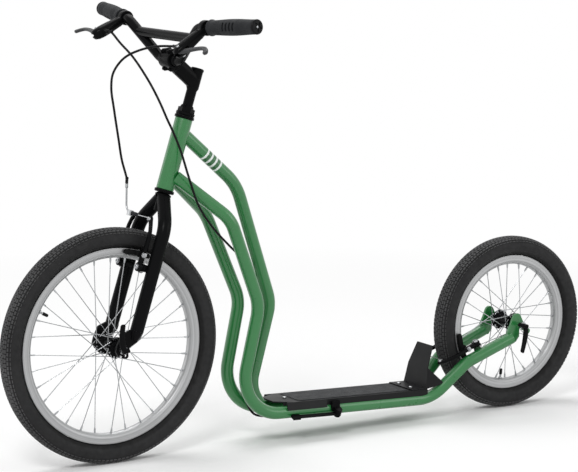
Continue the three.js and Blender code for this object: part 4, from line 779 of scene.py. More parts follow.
def smooth_route(points, spacing=0.006):
    """Points along a centripetal curve through the given points."""
    points = [Vector(point) for point in points]
    ends = [points[0] * 2 - points[1]] + points + [points[-1] * 2 - points[-2]]
    route = []
    for p0, p1, p2, p3 in zip(ends, ends[1:], ends[2:], ends[3:]):
        gaps = [max((b - a).length ** 0.5, 1e-6) for a, b in ((p0, p1), (p1, p2), (p2, p3))]
        t1 = (p1 - p0) / gaps[0] - (p2 - p0) / (gaps[0] + gaps[1]) + (p2 - p1) / gaps[1]
        t2 = (p2 - p1) / gaps[1] - (p3 - p1) / (gaps[1] + gaps[2]) + (p3 - p2) / gaps[2]
        t1, t2 = t1 * gaps[1], t2 * gaps[1]
        steps = max(2, math.ceil((p2 - p1).length / spacing))
        for k in range(steps):
            t = k / steps
            route.append(p1 * (2 * t ** 3 - 3 * t ** 2 + 1) + t1 * (t ** 3 - 2 * t ** 2 + t)
                         + p2 * (3 * t ** 2 - 2 * t ** 3) + t2 * (t ** 3 - t ** 2))
    route.append(points[-1])
    return route


def headings(route):
    """The direction of a route at each of its points."""
    last = len(route) - 1
    return [(route[min(i + 1, last)] - route[max(i - 1, 0)]).normalized() for i in range(last + 1)]


def add_sweep(shape, route, radius, sides=ROUND_SIDES):
    """A round bar along a route, its sections turned as little as possible from one to the next."""
    ways = headings(route)
    normal = ways[0].orthogonal().normalized()
    rings = []
    for i, point in enumerate(route):
        if i:
            normal = (ways[i - 1].rotation_difference(ways[i]) @ normal).normalized()
        across = ways[i].cross(normal).normalized()
        angles = [math.tau * k / sides for k in range(sides)]
        rings.append([point + (normal * math.cos(angle) + across * math.sin(angle)) * radius for angle in angles])
    add_rings(shape, rings)


def swept(route, radius, sides=ROUND_SIDES):
    """A new shape: a round bar along a route."""
    shape = bmesh.new()
    add_sweep(shape, route, radius, sides)
    return shape


def facing(place, direction):
    """The frame at a place with Z in a direction."""
    return Matrix.Translation(place) @ direction.to_track_quat("Z", "Y").to_matrix().to_4x4()


def turned_to(columns):
    """The turn whose X, Y and Z point in three directions."""
    return Matrix([[column[i] for column in columns] for i in range(3)]).to_4x4()


def mirrored(half):
    """Half a profile of (radius, place) points, and its mirror image on the way back."""
    return half + [(radius, -place) for radius, place in reversed(half)]


def dense(route, spacing):
    """The same route with extra points along its long straight runs."""
    result = [route[0]]
    for a, b in zip(route, route[1:]):
        steps = max(1, math.ceil((b - a).length / spacing))
        result += [a.lerp(b, k / steps) for k in range(1, steps + 1)]
    return result


def merged(node):
    """A CAD piece with its loose triangles merged and its flat faces joined."""
    shape = bmesh.new()
    shape.from_mesh(frame["nodes"][node].data)
    bmesh.ops.remove_doubles(shape, verts=shape.verts, dist=MERGE)
    bmesh.ops.dissolve_limit(shape, angle_limit=FLAT, verts=shape.verts, edges=shape.edges)
    return shape


def finished_copy(node, finish, ending, edge=0.0007, sharp=38):
    """A CAD piece with a finish and rounded edges."""
    thing = piece(f"{node}_{ending}", merged(node), finish, body_of(node), [node], crease=sharp)
    round_edges(thing, edge, sharp)


def round_edges(thing, width, sharp, steps=3):
    bevel = thing.modifiers.new("rounded_edges", "BEVEL")
    bevel.width = width
    bevel.segments = steps
    bevel.limit_method = "ANGLE"
    bevel.angle_limit = math.radians(sharp)
    bevel.harden_normals = True
    bevel.use_clamp_overlap = True


def add_collar(shape, bore, radius, width, ease, place, segments=ROUND_SIDES, axis="Y"):
    """A ring with a bore and eased edges."""
    half = width / 2
    ring = [(bore, -half), (radius, -half), (radius, half), (bore, half)]
    add_lathe(shape, eased(ring, ease, 3, closed=True), place, segments, axis)


def section(centre, across, up, half_across, half_up, squareness, sides):
    """A ring of points between an ellipse (2) and a rectangle (higher)."""
    ring = []
    for i in range(sides):
        angle = math.tau * i / sides
        a, b = math.cos(angle), math.sin(angle)
        wide = math.copysign(abs(a) ** (2 / squareness), a) * half_across
        high = math.copysign(abs(b) ** (2 / squareness), b) * half_up
        ring.append(centre + across * wide + up * high)
    return ring


def add_block(shape, low, high, place):
    """A box between two corners."""
    outline = ((low[0], low[1]), (high[0], low[1]), (high[0], high[1]), (low[0], high[1]))
    add_plate(shape, outline, low[2], high[2], place)


def add_plate(shape, outline, low, high, place):
    """A flat plate over an outline in X and Y, between two heights."""
    add_rings(shape, [[place @ Vector((x, y, z)) for x, y in outline] for z in (low, high)])


def closed_curve(points, steps=4):
    """A smooth closed outline through the given points."""
    points = [Vector(point) for point in points]
    count = len(points)
    outline = []
    for i in range(count):
        p0, p1, p2, p3 = (points[(i + k) % count] for k in (-1, 0, 1, 2))
        for k in range(steps):
            t = k / steps
            outline.append((p1 * 2 + (p2 - p0) * t + (p0 * 2 - p1 * 5 + p2 * 4 - p3) * t ** 2
                            + (p1 * 3 - p0 - p2 * 3 + p3) * t ** 3) / 2)
    return [tuple(point) for point in outline]


def carved(shape, tool):
    """The shape with the tool's space cut out of it."""
    things = [new_object(name, new_mesh(name, source)) for name, source in (("carved", shape), ("carving_tool", tool))]
    cut = things[0].modifiers.new("cut", "BOOLEAN")
    cut.operation = "DIFFERENCE"
    cut.solver = "EXACT"
    cut.object = things[1]
    evaluated = things[0].evaluated_get(bpy.context.evaluated_depsgraph_get())
    result = bmesh.new()
    result.from_mesh(evaluated.to_mesh())
    for thing in things:
        bpy.data.objects.remove(thing)
    return result


# Geometry Nodes that repeat a shape about an axle
def repeat_tree(name):
    """A node group that turns copies of a shape about the Y axis through a centre."""
    tree = bpy.data.node_groups.new(name, "GeometryNodeTree")
    for label, kind in (("Geometry", "Geometry"), ("Count", "Int"), ("Centre", "Vector"), ("Material", "Material")):
        tree.interface.new_socket(label, in_out="INPUT", socket_type=f"NodeSocket{kind}")
    tree.interface.new_socket("Geometry", in_out="OUTPUT", socket_type="NodeSocketGeometry")

    def add(kind, sources=None, operation=None):
        node = tree.nodes.new(kind)
        if operation:
            node.operation = operation
        for key, source in (sources or {}).items():
            tree.links.new(source, node.inputs[key])
        return node

    given = add("NodeGroupInput").outputs
    points = add("GeometryNodePoints", {"Count": given["Count"]})
    index = add("GeometryNodeInputIndex")
    share = add("ShaderNodeMath", {0: index.outputs[0], 1: given["Count"]}, "DIVIDE")
    angle = add("ShaderNodeMath", {0: share.outputs[0]}, "MULTIPLY")
    angle.inputs[1].default_value = math.tau
    turned = add("ShaderNodeCombineXYZ", {"Y": angle.outputs[0]})
    copies = add("GeometryNodeInstanceOnPoints", {
        "Points": points.outputs[0], "Instance": given["Geometry"], "Rotation": turned.outputs[0]})
    placed = add("GeometryNodeTransform", {"Geometry": copies.outputs[0], "Translation": given["Centre"]})
    real = add("GeometryNodeRealizeInstances", {0: placed.outputs[0]})
    painted = add("GeometryNodeSetMaterial", {"Geometry": real.outputs[0], "Material": given["Material"]})
    add("NodeGroupOutput", {0: painted.outputs[0]})
    return tree


def repeated(name, shape, count, centre, finish, body, crease=CREASE):
    """Repeats a shape made about the origin, turned about an axle, and makes it one plain mesh."""
    tree = bpy.data.node_groups.get("repeat_about_axle") or repeat_tree("repeat_about_axle")
    seed = new_mesh(f"{name}_one", shape)
    shade_smooth(seed, crease)
    maker = new_object(f"{name}_maker", seed)
    modifier = maker.modifiers.new("repeat", "NODES")
    modifier.node_group = tree
    values = {"Count": count, "Centre": centre, "Material": FINISHES[finish]}
    for item in tree.interface.items_tree:
        if item.name in values:
            modifier[item.identifier] = values[item.name]
    mesh = bpy.data.meshes.new_from_object(maker.evaluated_get(bpy.context.evaluated_depsgraph_get()))
    mesh.name = name
    bpy.data.objects.remove(maker)
    attached(new_object(name, mesh), body, ())


# Wheels
# The casing's outline from the bead to the crown, as shares of its half width and height
CASING = ((0.36, 0), (0.62, 0.08), (0.84, 0.21), (0.965, 0.36), (1, 0.5), (0.975, 0.64), (0.9, 0.77), (0.76, 0.88),
          (0.54, 0.955), (0.28, 0.99), (0, 1))
# Rows of tread blocks: place and width as shares of the half width, shift round the tyre, filled share
TREAD_ROWS = ((0, 0.2, 0, 0.8), (0.245, 0.195, 0.5, 0.8), (0.48, 0.185, 0.5, 0.8), (0.7, 0.165, 0, 0.8),
              (0.86, 0.07, 0, 0.7))
# How deep the blocks are rooted in the casing, and the step over which its slope is measured
TREAD_ROOT = 0.0008
SLOPE_STEP = 0.05


def wheels():
    """Each wheel's name, frame, tyre radius, rim radius, number of spokes and rows of tread blocks."""
    s = sizes()
    return (
        ("front", FRONT_WHEEL, s.front_tyre_radius, s.front_rim_radius, s.front_spokes, s.front_tread_pitches),
        ("rear", REAR_WHEEL, s.rear_tyre_radius, s.rear_rim_radius, s.rear_spokes, s.rear_tread_pitches))


def casing_height(share):
    """How high the casing stands at a share of its half width."""
    crown = CASING[4:]
    for (wide, low), (narrow, high) in zip(crown, crown[1:]):
        if narrow <= abs(share) <= wide:
            return low + (high - low) * (wide - abs(share)) / (wide - narrow)
    return crown[0][1]


def tyre_profile(tyre_radius, rim_radius, width, lowered):
    """The casing's outline: bead, bulged side, crown, and back under it."""
    half = width / 2
    bead = rim_radius + SEAT_GAP
    height = tyre_radius - lowered - bead
    right = [(bead + height * h, half * w) for w, h in CASING]
    left = [(r, -y) for r, y in reversed(right[:-1])]
    return right + left


class KICKBIKE_OT_tyres(bpy.types.Operator):
    """Makes both tyres: a bulged casing and rows of tread blocks"""

    bl_idname = "kickbike.tyres"
    bl_label = "Tyres"

    def execute(self, context):
        s = sizes()
        for name, place, outer, rim, _, pitches in wheels():
            profile = tyre_profile(outer, rim, s.tyre_width, s.tread_depth)
            shape = lathed(eased(profile, 0.003, 2), place, WHEEL_SEGMENTS, "Y")
            piece(f"{name}_tyre_casing", shape, "tyre_rubber", f"{name}_wheel", [f"{name}_tyre"], crease=60)
            self.tread(name, place, outer, rim, pitches)
        return {"FINISHED"}

    def tread(self, name, place, outer, rim, pitches):
        """One row of small blocks from side to side, repeated round the tyre."""
        s = sizes()
        shape = bmesh.new()
        pitch = math.tau / pitches
        half, bead = s.tyre_width / 2, rim + SEAT_GAP
        height = outer - s.tread_depth - bead
        layers = ((-TREAD_ROOT, 1), (s.tread_depth * 0.75, 0.98), (s.tread_depth, 0.88))
        for share, width, shift, fill in TREAD_ROWS:
            turn = Matrix.Rotation(-pitch * shift, 3, "Y")
            climb = casing_height(share + SLOPE_STEP) - casing_height(share - SLOPE_STEP)
            slope = climb / (SLOPE_STEP * 2) * height / half
            wide, around = width * half / 2, outer * pitch * fill / 2
            for side in ((1,) if share == 0 else (-1, 1)):
                out = Vector((1, -slope * side, 0)).normalized()
                across = Vector((slope * side, 1, 0)).normalized()
                seat = Vector((bead + height * casing_height(share), side * half * share, 0))
                rings = []
                for lift, taper in layers:
                    ring = []
                    for a, b in ((-1, -1), (1, -1), (1, 1), (-1, 1)):
                        point = seat + out * lift + across * (a * wide * taper)
                        point.z = b * around * taper
                        ring.append(turn @ point)
                    rings.append(ring)
                add_rings(shape, rings)
        repeated(f"{name}_tyre_tread", shape, pitches, place.translation, "tread_rubber_painted_highlight", f"{name}_wheel")


class KICKBIKE_OT_rims(bpy.types.Operator):
    """Makes both rims with their brake tracks, spoke eyelets and valves"""

    bl_idname = "kickbike.rims"
    bl_label = "Rims"

    def execute(self, context):
        half, well, shoulder = RIM_WIDTH / 2, RIM_WELL_WIDTH / 2, RIM_DEPTH / 3
        for name, place, _, rim, count, _ in wheels():
            inner = rim - RIM_DEPTH
            low = inner + shoulder
            outline = [(inner, RIM_WIDTH / 6), (inner + shoulder * 0.35, half * 0.72), (low, half - RIM_EDGE),
                       (low + RIM_STEP, half - RIM_EDGE), (low + RIM_STEP * 1.4, half), (rim - RIM_STEP, half),
                       (rim, half - RIM_EDGE), (rim, well), (rim - RIM_WELL_DEPTH, well - RIM_WELL_DEPTH / 2)]
            shape = lathed(eased(mirrored(outline), 0.0012, 3, closed=True), place, WHEEL_SEGMENTS, "Y")
            piece(f"{name}_rim_hoop", shape, f"{name}_alloy", f"{name}_wheel", [f"{name}_rim"], crease=50)
            self.eyelets(name, place.translation, inner, count)
            self.valve(name, place.translation, rim)
        return {"FINISHED"}

    def eyelets(self, name, axle, inner, count):
        """A small metal ring round each spoke's hole."""
        bore = sizes().spoke_radius
        radius = bore * 2.6
        outline = eased([(bore, -0.0004), (radius, -0.0004), (radius, 0.0006), (radius * 0.7, 0.0011), (bore, 0.0011)],
                        0.0003, 1, closed=True)
        turn = Matrix.Translation((inner + 0.0002, 0, 0)) @ Matrix.Rotation(-math.pi / 2, 4, "Y")
        repeated(f"{name}_rim_eyelets", lathed(outline, turn, 12), count, axle, "steel", f"{name}_wheel")

    def valve(self, name, axle, rim):
        """A threaded metal stem through the rim, its nut, and a cap."""
        turn = facing(axle, middle(f"{name}_valve") - axle)
        foot = rim - RIM_DEPTH
        cap = foot - VALVE_STEM
        end = cap - VALVE_CAP
        threads = range(int(VALVE_STEM / THREAD_PITCH))
        stem = [(0, cap)] + [(VALVE_RADIUS - THREAD_DEPTH * (k % 2), cap + THREAD_PITCH * k) for k in threads]
        stem += [(VALVE_RADIUS, foot - 0.003), (VALVE_NUT_RADIUS, foot - 0.003), (VALVE_NUT_RADIUS, foot - 0.0006),
                 (0.0030, foot - 0.0004), (0.0030, foot + 0.003), (0, foot + 0.003)]
        piece(f"{name}_valve_stem", lathed(stem, turn, 20), "steel", f"{name}_wheel", [f"{name}_valve"])
        profile = [(0, end), (VALVE_RADIUS, end), (0.0034, end + 0.0014), (0.0037, cap - 0.0005),
                   (0.0033, cap + 0.0006), (0, cap + 0.0006)]
        piece(f"{name}_valve_cap", lathed(eased(profile, 0.0005, 2), turn, 24), "plastic", f"{name}_wheel")


class KICKBIKE_OT_hubs(bpy.types.Operator):
    """Makes both hubs and laces them with crossed spokes and nipples"""

    bl_idname = "kickbike.hubs"
    bl_label = "Hubs and spokes"

    def execute(self, context):
        inside = FLANGE_SPREAD - FLANGE_THICKNESS
        outline = [(HUB_BORE, HUB_HALF_LENGTH), (HUB_END_RADIUS, HUB_HALF_LENGTH),
                   (HUB_END_RADIUS, FLANGE_SPREAD + FLANGE_THICKNESS * 2), (HUB_END_RADIUS * 1.25, FLANGE_SPREAD),
                   (FLANGE_RADIUS, FLANGE_SPREAD), (FLANGE_RADIUS, inside), (HUB_END_RADIUS * 1.4, inside),
                   (HUB_BARREL_RADIUS, inside - FLANGE_THICKNESS * 2)]
        for name, place, _, rim, count, _ in wheels():
            shape = lathed(eased(mirrored(outline), 0.0012, 3, closed=True), place, ROUND_SIDES, "Y")
            piece(f"{name}_hub_shell", shape, "black_paint", f"{name}_wheel", [f"{name}_hub_and_spokes"], crease=40)
            self.spokes(name, place, rim, count)
        return {"FINISHED"}

    def spokes(self, name, place, rim, count):
        """A pair of crossed spokes on each flange with their nipples, repeated round the wheel."""
        shape, nipples = bmesh.new(), bmesh.new()
        r = sizes().spoke_radius
        hole = FLANGE_RADIUS - FLANGE_HOLE_INSET
        reach = rim - RIM_DEPTH
        per_flange = count // 2
        lean = 360 / per_flange * SPOKE_CROSSINGS
        nut = eased([(0, 0), (NIPPLE_RADIUS, 0), (NIPPLE_RADIUS, -NIPPLE_SHOULDER), (0.0014, -NIPPLE_LENGTH),
                     (0, -NIPPLE_LENGTH)], 0.0004, 1)
        for side in (-1, 1):
            for way in (-1, 1):
                rim_angle = (way + 1) * 180 / per_flange + (side + 1) * 90 / per_flange
                hub_angle = math.radians(rim_angle - way * lean)
                aim = math.radians(rim_angle)
                face = FLANGE_SPREAD - FLANGE_THICKNESS / 2 + way * (FLANGE_THICKNESS + r) / 2
                through = face - way * (FLANGE_THICKNESS + r * 2.4)
                seat = Vector((math.cos(hub_angle), 0, math.sin(hub_angle))) * hole
                start, bent, head, knob = (seat + Vector((0, side * y, 0)) for y in (
                    face, through, through - way * r, through + way * r * 0.2))
                end = Vector((reach * math.cos(aim), side * r * 2, reach * math.sin(aim)))
                along = (end - start).normalized()
                bend = [bent, start - along * r, start + along * r * 4]
                add_sweep(shape, smooth_route(bend, 0.002)[:-1] + [bend[-1], end], r, 6)
                add_sweep(shape, [head, knob], r * 1.9, 8)
                add_lathe(nipples, nut, facing(end + along * 0.0005, along), 8)
        for ending, made, crease in (("spokes", shape, 60), ("spoke_nipples", nipples, CREASE)):
            repeated(f"{name}_{ending}", made, per_flange // 2, place.translation, "steel", f"{name}_wheel", crease)


# Frame
def behind(reach, side, height):
    return Vector((FRONT_AXLE.x + reach, side, height))


def ahead(reach, side, height):
    return Vector((REAR_AXLE.x - reach, side, height))


def brake_frame(centre):
    """The rear brake's own frame, with Z towards the arms' tips."""
    sine, cosine = math.sin(REAR_BRAKE_ANGLE), math.cos(REAR_BRAKE_ANGLE)
    columns = (Vector((sine, 0, -cosine)), Vector((0, -1, 0)), Vector((-cosine, 0, -sine)))
    return Matrix.Translation(centre) @ turned_to(columns)


REAR_BRAKE = brake_frame(REAR_AXLE)
FRONT_BRAKE = STEERING @ Matrix.Translation((-FORK_OFFSET, 0, 0))


def stud_frame(place, rim_radius, side):
    """The frame at a brake arm's pivot, with Z back to the tube that carries it."""
    pivot = (0, side * BRAKE_PIVOT_SPREAD, rim_radius - BRAKE_TRACK_INSET - BRAKE_PIVOT_DROP)
    return place @ Matrix.Translation(pivot) @ Matrix.Rotation(math.pi / 2, 4, "Y")


def add_brake_boss(shape, place, rim_radius, side, depth):
    """Boss and stud of a brake arm, on a tube whose centre line lies at the given depth."""
    turn = stud_frame(place, rim_radius, side)
    back = -(BRAKE_ARM_ADVANCE - BRAKE_ARM_THICKNESS / 2 - SEAT_GAP)
    front = -(BRAKE_ARM_ADVANCE + BRAKE_ARM_THICKNESS / 2 + SEAT_GAP)
    r = BRAKE_STUD_RADIUS
    add_lathe(shape, eased([(0, depth), (r * 2, depth), (r * 2, back), (0, back)], 0.0008, 2), turn, 24)
    add_lathe(shape, [(0, back), (r, back), (r, front), (0, front)], turn, 24)


def brake_bolt(name, place, rim_radius, side, body):
    """The screw on a brake stud: a washer face and a round head with a socket."""
    front = -(BRAKE_ARM_ADVANCE + BRAKE_ARM_THICKNESS / 2 + SEAT_GAP)
    r = BRAKE_STUD_RADIUS
    head = [(0, front), (r * 1.62, front), (r * 1.62, front - r * 0.25), (r * 1.35, front - r * 0.3),
            (r * 1.35, front - r * 0.8), (r * 1.1, front - r), (r * 0.62, front - r)]
    socket = [(r * 0.55, front - r * 0.5), (0, front - r * 0.5)]
    piece(name, lathed(eased(head, 0.0004, 2) + socket, stud_frame(place, rim_radius, side), 24), "steel", body)


class KICKBIKE_OT_frame_tubes(bpy.types.Operator):
    """Bends the two side tubes and the upper tube, and sets the bridge between them and the rear dropouts"""

    bl_idname = "kickbike.frame_tubes"
    bl_label = "Frame tubes"

    def execute(self, context):
        s = sizes()
        for name, side in HANDS:
            joint = STEERING @ Vector((0, side * SIDE_JOINT_SPREAD, HEAD_BOTTOM + SIDE_JOINT_RISE))
            corners = [joint]
            corners += [behind(reach, side * spread, height) for reach, spread, height in SIDE_FRONT_CORNERS]
            corners += [ahead(reach, side * spread, height) for reach, spread, height in SIDE_REAR_CORNERS]
            shape = self.tube(corners, SIDE_BENDS)
            self.pinch(shape, joint, side)
            low, high = (REAR_BRAKE.inverted() @ corner for corner in corners[-2:])
            pivot = s.rear_rim_radius - BRAKE_TRACK_INSET - BRAKE_PIVOT_DROP
            depth = high.x + (low.x - high.x) * (pivot - high.z) / (low.z - high.z)
            add_brake_boss(shape, REAR_BRAKE, s.rear_rim_radius, -side, depth)
            piece(f"{name}_side_tube_bent", shape, "green_paint", "frame", [f"{name}_side_tube"])
            brake_bolt(f"rear_{name}_brake_bolt", REAR_BRAKE, s.rear_rim_radius, -side, "frame")
        corners = [UPPER_JOINT] + [behind(*corner) for corner in UPPER_CORNERS]
        piece("upper_tube_bent", self.tube(corners, UPPER_BENDS), "striped_paint", "frame", ["upper_tube"])
        finished_copy("front_bridge", "green_paint", "painted")
        for name, _ in HANDS:
            finished_copy(f"{name}_rear_dropout", "green_paint", "painted", 0.0008)
        return {"FINISHED"}

    def tube(self, corners, bends):
        """A bent tube that starts inside the head tube's wall."""
        route = dense(bent_route(corners, bends), TUBE_STEP)
        inset = HEAD_RADIUS * TUBE_INSET_SHARE
        begin = next(i for i, point in enumerate(route) if (point - corners[0]).length > inset)
        return swept(route[begin:], TUBE_RADIUS)

    def pinch(self, shape, joint, side):
        """Draws the tubes in where they lie side by side behind the head tube."""
        room = SIDE_JOINT_SPREAD - SEAT_GAP / 2
        for vert in shape.verts:
            away = math.hypot(vert.co.x - joint.x, vert.co.z - joint.z) / SIDE_PINCH
            if away >= 1:
                continue
            spread = SHOULDER_SPREAD - SIDE_JOINT_SPREAD
            centre = side * (SIDE_JOINT_SPREAD + spread * min(away / 2, 1))
            share = room / TUBE_RADIUS + (1 - room / TUBE_RADIUS) * away
            vert.co.y = centre + (vert.co.y - centre) * share


class KICKBIKE_OT_headset(bpy.types.Operator):
    """Turns the head tube, its bearing cups and races, and the locking nut"""

    bl_idname = "kickbike.headset"
    bl_label = "Head tube and headset"

    def execute(self, context):
        wall = [(HEAD_BORE, HEAD_BOTTOM), (HEAD_RADIUS, HEAD_BOTTOM), (HEAD_RADIUS, HEAD_TOP), (HEAD_BORE, HEAD_TOP)]
        shape = lathed(eased(wall, 0.0012, 3, closed=True), STEERING)
        piece("head_tube_turned", shape, "green_paint", "frame", ["head_tube"])
        for name, face, way in (("lower", HEAD_BOTTOM, -1), ("upper", HEAD_TOP, 1)):
            end = face + way * CUP_HEIGHT
            groove = face + way * CUP_HEIGHT * 0.45
            cup = [(CUP_BORE, face), (HEAD_RADIUS, face), (CUP_RADIUS, face + way * 0.001), (CUP_RADIUS, groove),
                   (CUP_RADIUS - 0.0006, groove + way * 0.0004), (CUP_RADIUS, groove + way * 0.0008),
                   (CUP_RADIUS, end - way * 0.002), (CUP_RADIUS - 0.002, end), (CUP_BORE, end)]
            shape = lathed(eased(cup, 0.0005, 2, closed=True), STEERING)
            piece(f"{name}_headset_cup_turned", shape, "black_paint", "frame", [f"{name}_headset_cup"])
        for node in ("crown_race", "top_race", "locking_nut", "steerer_tube"):
            finished_copy(node, "black_paint", "turned", 0.0005, 30)
        return {"FINISHED"}


class KICKBIKE_OT_fork(bpy.types.Operator):
    """Bends the fork legs in to the steerer and sets their ends, studs and bosses"""

    bl_idname = "kickbike.fork"
    bl_label = "Fork"

    def execute(self, context):
        s = sizes()
        for name, side in HANDS:
            corners = [(-LEG_ADVANCE, side * LEG_SPREAD, LEG_BOTTOM), (-LEG_ADVANCE, side * LEG_SPREAD, LEG_SHOULDER),
                       (0, side * LEG_TOP_SPREAD, CROWN_TOP - 0.004)]
            route = [STEERING @ point for point in dense(bent_route(corners, [LEG_BEND]), 0.01)]
            shape = swept(route, LEG_RADIUS)
            add_brake_boss(shape, FRONT_BRAKE, s.front_rim_radius, side, FORK_OFFSET - LEG_ADVANCE)
            piece(f"{name}_fork_leg_bent", shape, "black_paint", "steering", [f"{name}_fork_leg"])
            brake_bolt(f"front_{name}_brake_bolt", FRONT_BRAKE, s.front_rim_radius, side, "steering")
            finished_copy(f"{name}_fork_end", "black_paint", "painted", 0.0009)
        return {"FINISHED"}


# Handlebar and stem
def bar_corners(side):
    return [Vector((x, side * y, z)) for x, y, z in (BAR_FLAT_END, BAR_BEND_POINT, BAR_END)]


def bar_route():
    corners = bar_corners(-1)[::-1] + bar_corners(1)
    return [STEERING @ point for point in dense(bent_route(corners, [BAR_BEND] * 4), 0.01)]


def on_bar_end(side):
    """The frame at a bar's end, with Y along the bar and pointing outwards."""
    _, bend, end = bar_corners(side)
    along = (end - bend).normalized()
    turn = Vector((0, side, 0)).rotation_difference(along).to_matrix().to_4x4()
    flip = Matrix.Scale(side, 4, (0, 1, 0))
    return STEERING @ Matrix.Translation(end) @ turn @ flip


class KICKBIKE_OT_handlebar(bpy.types.Operator):
    """Bends the handlebar and sets its crossbar, grips and end plugs"""

    bl_idname = "kickbike.handlebar"
    bl_label = "Handlebar"

    def execute(self, context):
        shape = swept(bar_route(), BAR_RADIUS)
        sleeve = [(0, -SLEEVE_HALF), (BAR_RADIUS, -SLEEVE_HALF), (SLEEVE_RADIUS, -SLEEVE_HALF * 0.9),
                  (SLEEVE_RADIUS, SLEEVE_HALF * 0.9), (BAR_RADIUS, SLEEVE_HALF), (0, SLEEVE_HALF)]
        x, _, z = BAR_FLAT_END
        add_lathe(shape, eased(sleeve, 0.002, 3), STEERING @ Matrix.Translation((x, 0, z)), ROUND_SIDES, "Y")
        piece("handlebar_bent", shape, "black_paint", "steering", ["handlebar"])
        flat, bend, _ = bar_corners(1)
        share = (CROSSBAR_SPREAD - flat.y) / (bend.y - flat.y)
        ends = [STEERING @ (flat.lerp(bend, share) * Vector((1, side, 1))) for side in (-1, 1)]
        shape = swept(dense(ends, 0.02), CROSSBAR_RADIUS)
        piece("handlebar_crossbar_welded", shape, "black_paint", "steering", ["handlebar_crossbar"])
        for name, side in HANDS:
            self.grip(name, side)
            self.plug(name, side)
        return {"FINISHED"}

    def grip(self, name, side):
        """A grip with a flange, a swollen palm, bands of fine ribs and four slots in front."""
        length, flange = GRIP_LENGTH, GRIP_FLANGE_WIDTH
        start = -length + flange * 2
        run = -start - GRIP_END
        rows = {round(start + run * i / (GRIP_RIBS * 2), 6): i % 2 for i in range(GRIP_RIBS * 2 + 1)}
        for k in range(GRIP_SLOT_COUNT):
            low = -length + GRIP_SLOT_START + k * GRIP_SLOT_PITCH
            high = low + GRIP_SLOT_WIDTH
            for y in (low, low + GRIP_SLOT_EDGE, high - GRIP_SLOT_EDGE, high):
                rows[round(y, 6)] = 0
        profile = [(BAR_RADIUS + SEAT_GAP, -length), (GRIP_FLANGE_RADIUS - 0.001, -length),
                   (GRIP_FLANGE_RADIUS, -length + 0.0012), (GRIP_FLANGE_RADIUS, -length + flange * 0.7),
                   (GRIP_RADIUS + 0.0012, -length + flange * 1.2)]
        for y, odd in sorted(rows.items()):
            along = (y - start) / run
            belly = math.sin(math.pi * min(1, max(0, along) * 1.04)) ** 1.5
            banded = odd and any(first < along < last for first, last in GRIP_RIB_BANDS)
            radius = GRIP_RADIUS + (GRIP_BELLY - GRIP_RADIUS) * belly
            profile.append((radius - (GRIP_RIB_DEPTH if banded else 0), y))
        profile += [(GRIP_RADIUS - 0.0008, -0.001), (BAR_RADIUS + SEAT_GAP, 0)]
        shape = lathed(profile, Matrix.Identity(4), 96, "Y")
        margin = GRIP_SLOT_EDGE / 2
        for vert in shape.verts:
            x, y, z = vert.co
            place = y + length - GRIP_SLOT_START
            inside = 0 <= place < GRIP_SLOT_PITCH * GRIP_SLOT_COUNT
            inside = inside and margin < place % GRIP_SLOT_PITCH < GRIP_SLOT_WIDTH - margin
            radius = math.hypot(x, z)
            away = (math.atan2(z, -x) - GRIP_SLOT_TURNS[name] + math.pi) % math.tau - math.pi
            if inside and abs(away) * radius < GRIP_SLOT_HEIGHT / 2:
                vert.co = Vector((x, 0, z)) * ((radius - GRIP_SLOT_DEPTH) / radius) + Vector((0, y, 0))
        shape.transform(on_bar_end(side))
        piece(f"{name}_grip_moulded", shape, "grip_rubber", "steering", [f"{name}_grip"], crease=50)

    def plug(self, name, side):
        """An end plug with a rounded rim, a lobed recess and a screw in its middle."""
        place = on_bar_end(side)
        r, rim, low = PLUG_RADIUS, PLUG_RIM, PLUG_RIM - PLUG_RECESS
        disc = eased([(0, SEAT_GAP), (r, SEAT_GAP), (r, rim * 0.6), (r * 0.84, rim), (0, rim)], 0.0009, 3)
        tool = bmesh.new()
        lobes = []
        for i in range(PLUG_LOBE_SIDES):
            angle = math.tau * i / PLUG_LOBE_SIDES
            reach = r * (0.5 + 0.2 * math.cos(angle * PLUG_LOBES))
            lobes.append((reach * math.cos(angle), reach * math.sin(angle)))
        add_plate(tool, lobes, low, rim + PLUG_RECESS, place @ Matrix.Rotation(-math.pi / 2, 4, "X"))
        shape = carved(lathed(disc, place, ROUND_SIDES, "Y"), tool)
        thing = piece(f"{name}_bar_plug_moulded", shape, "plastic", "steering", [f"{name}_bar_plug"], crease=30)
        round_edges(thing, 0.0003, 40, 2)
        head = [(0, low), (r * 0.15, low), (r * 0.15, low + 0.0012), (r * 0.09, low + 0.0014), (r * 0.08, low + 0.0004),
                (0, low + 0.0004)]
        piece(f"{name}_bar_plug_screw", lathed(head, place, 24, "Y"), "steel", "steering")


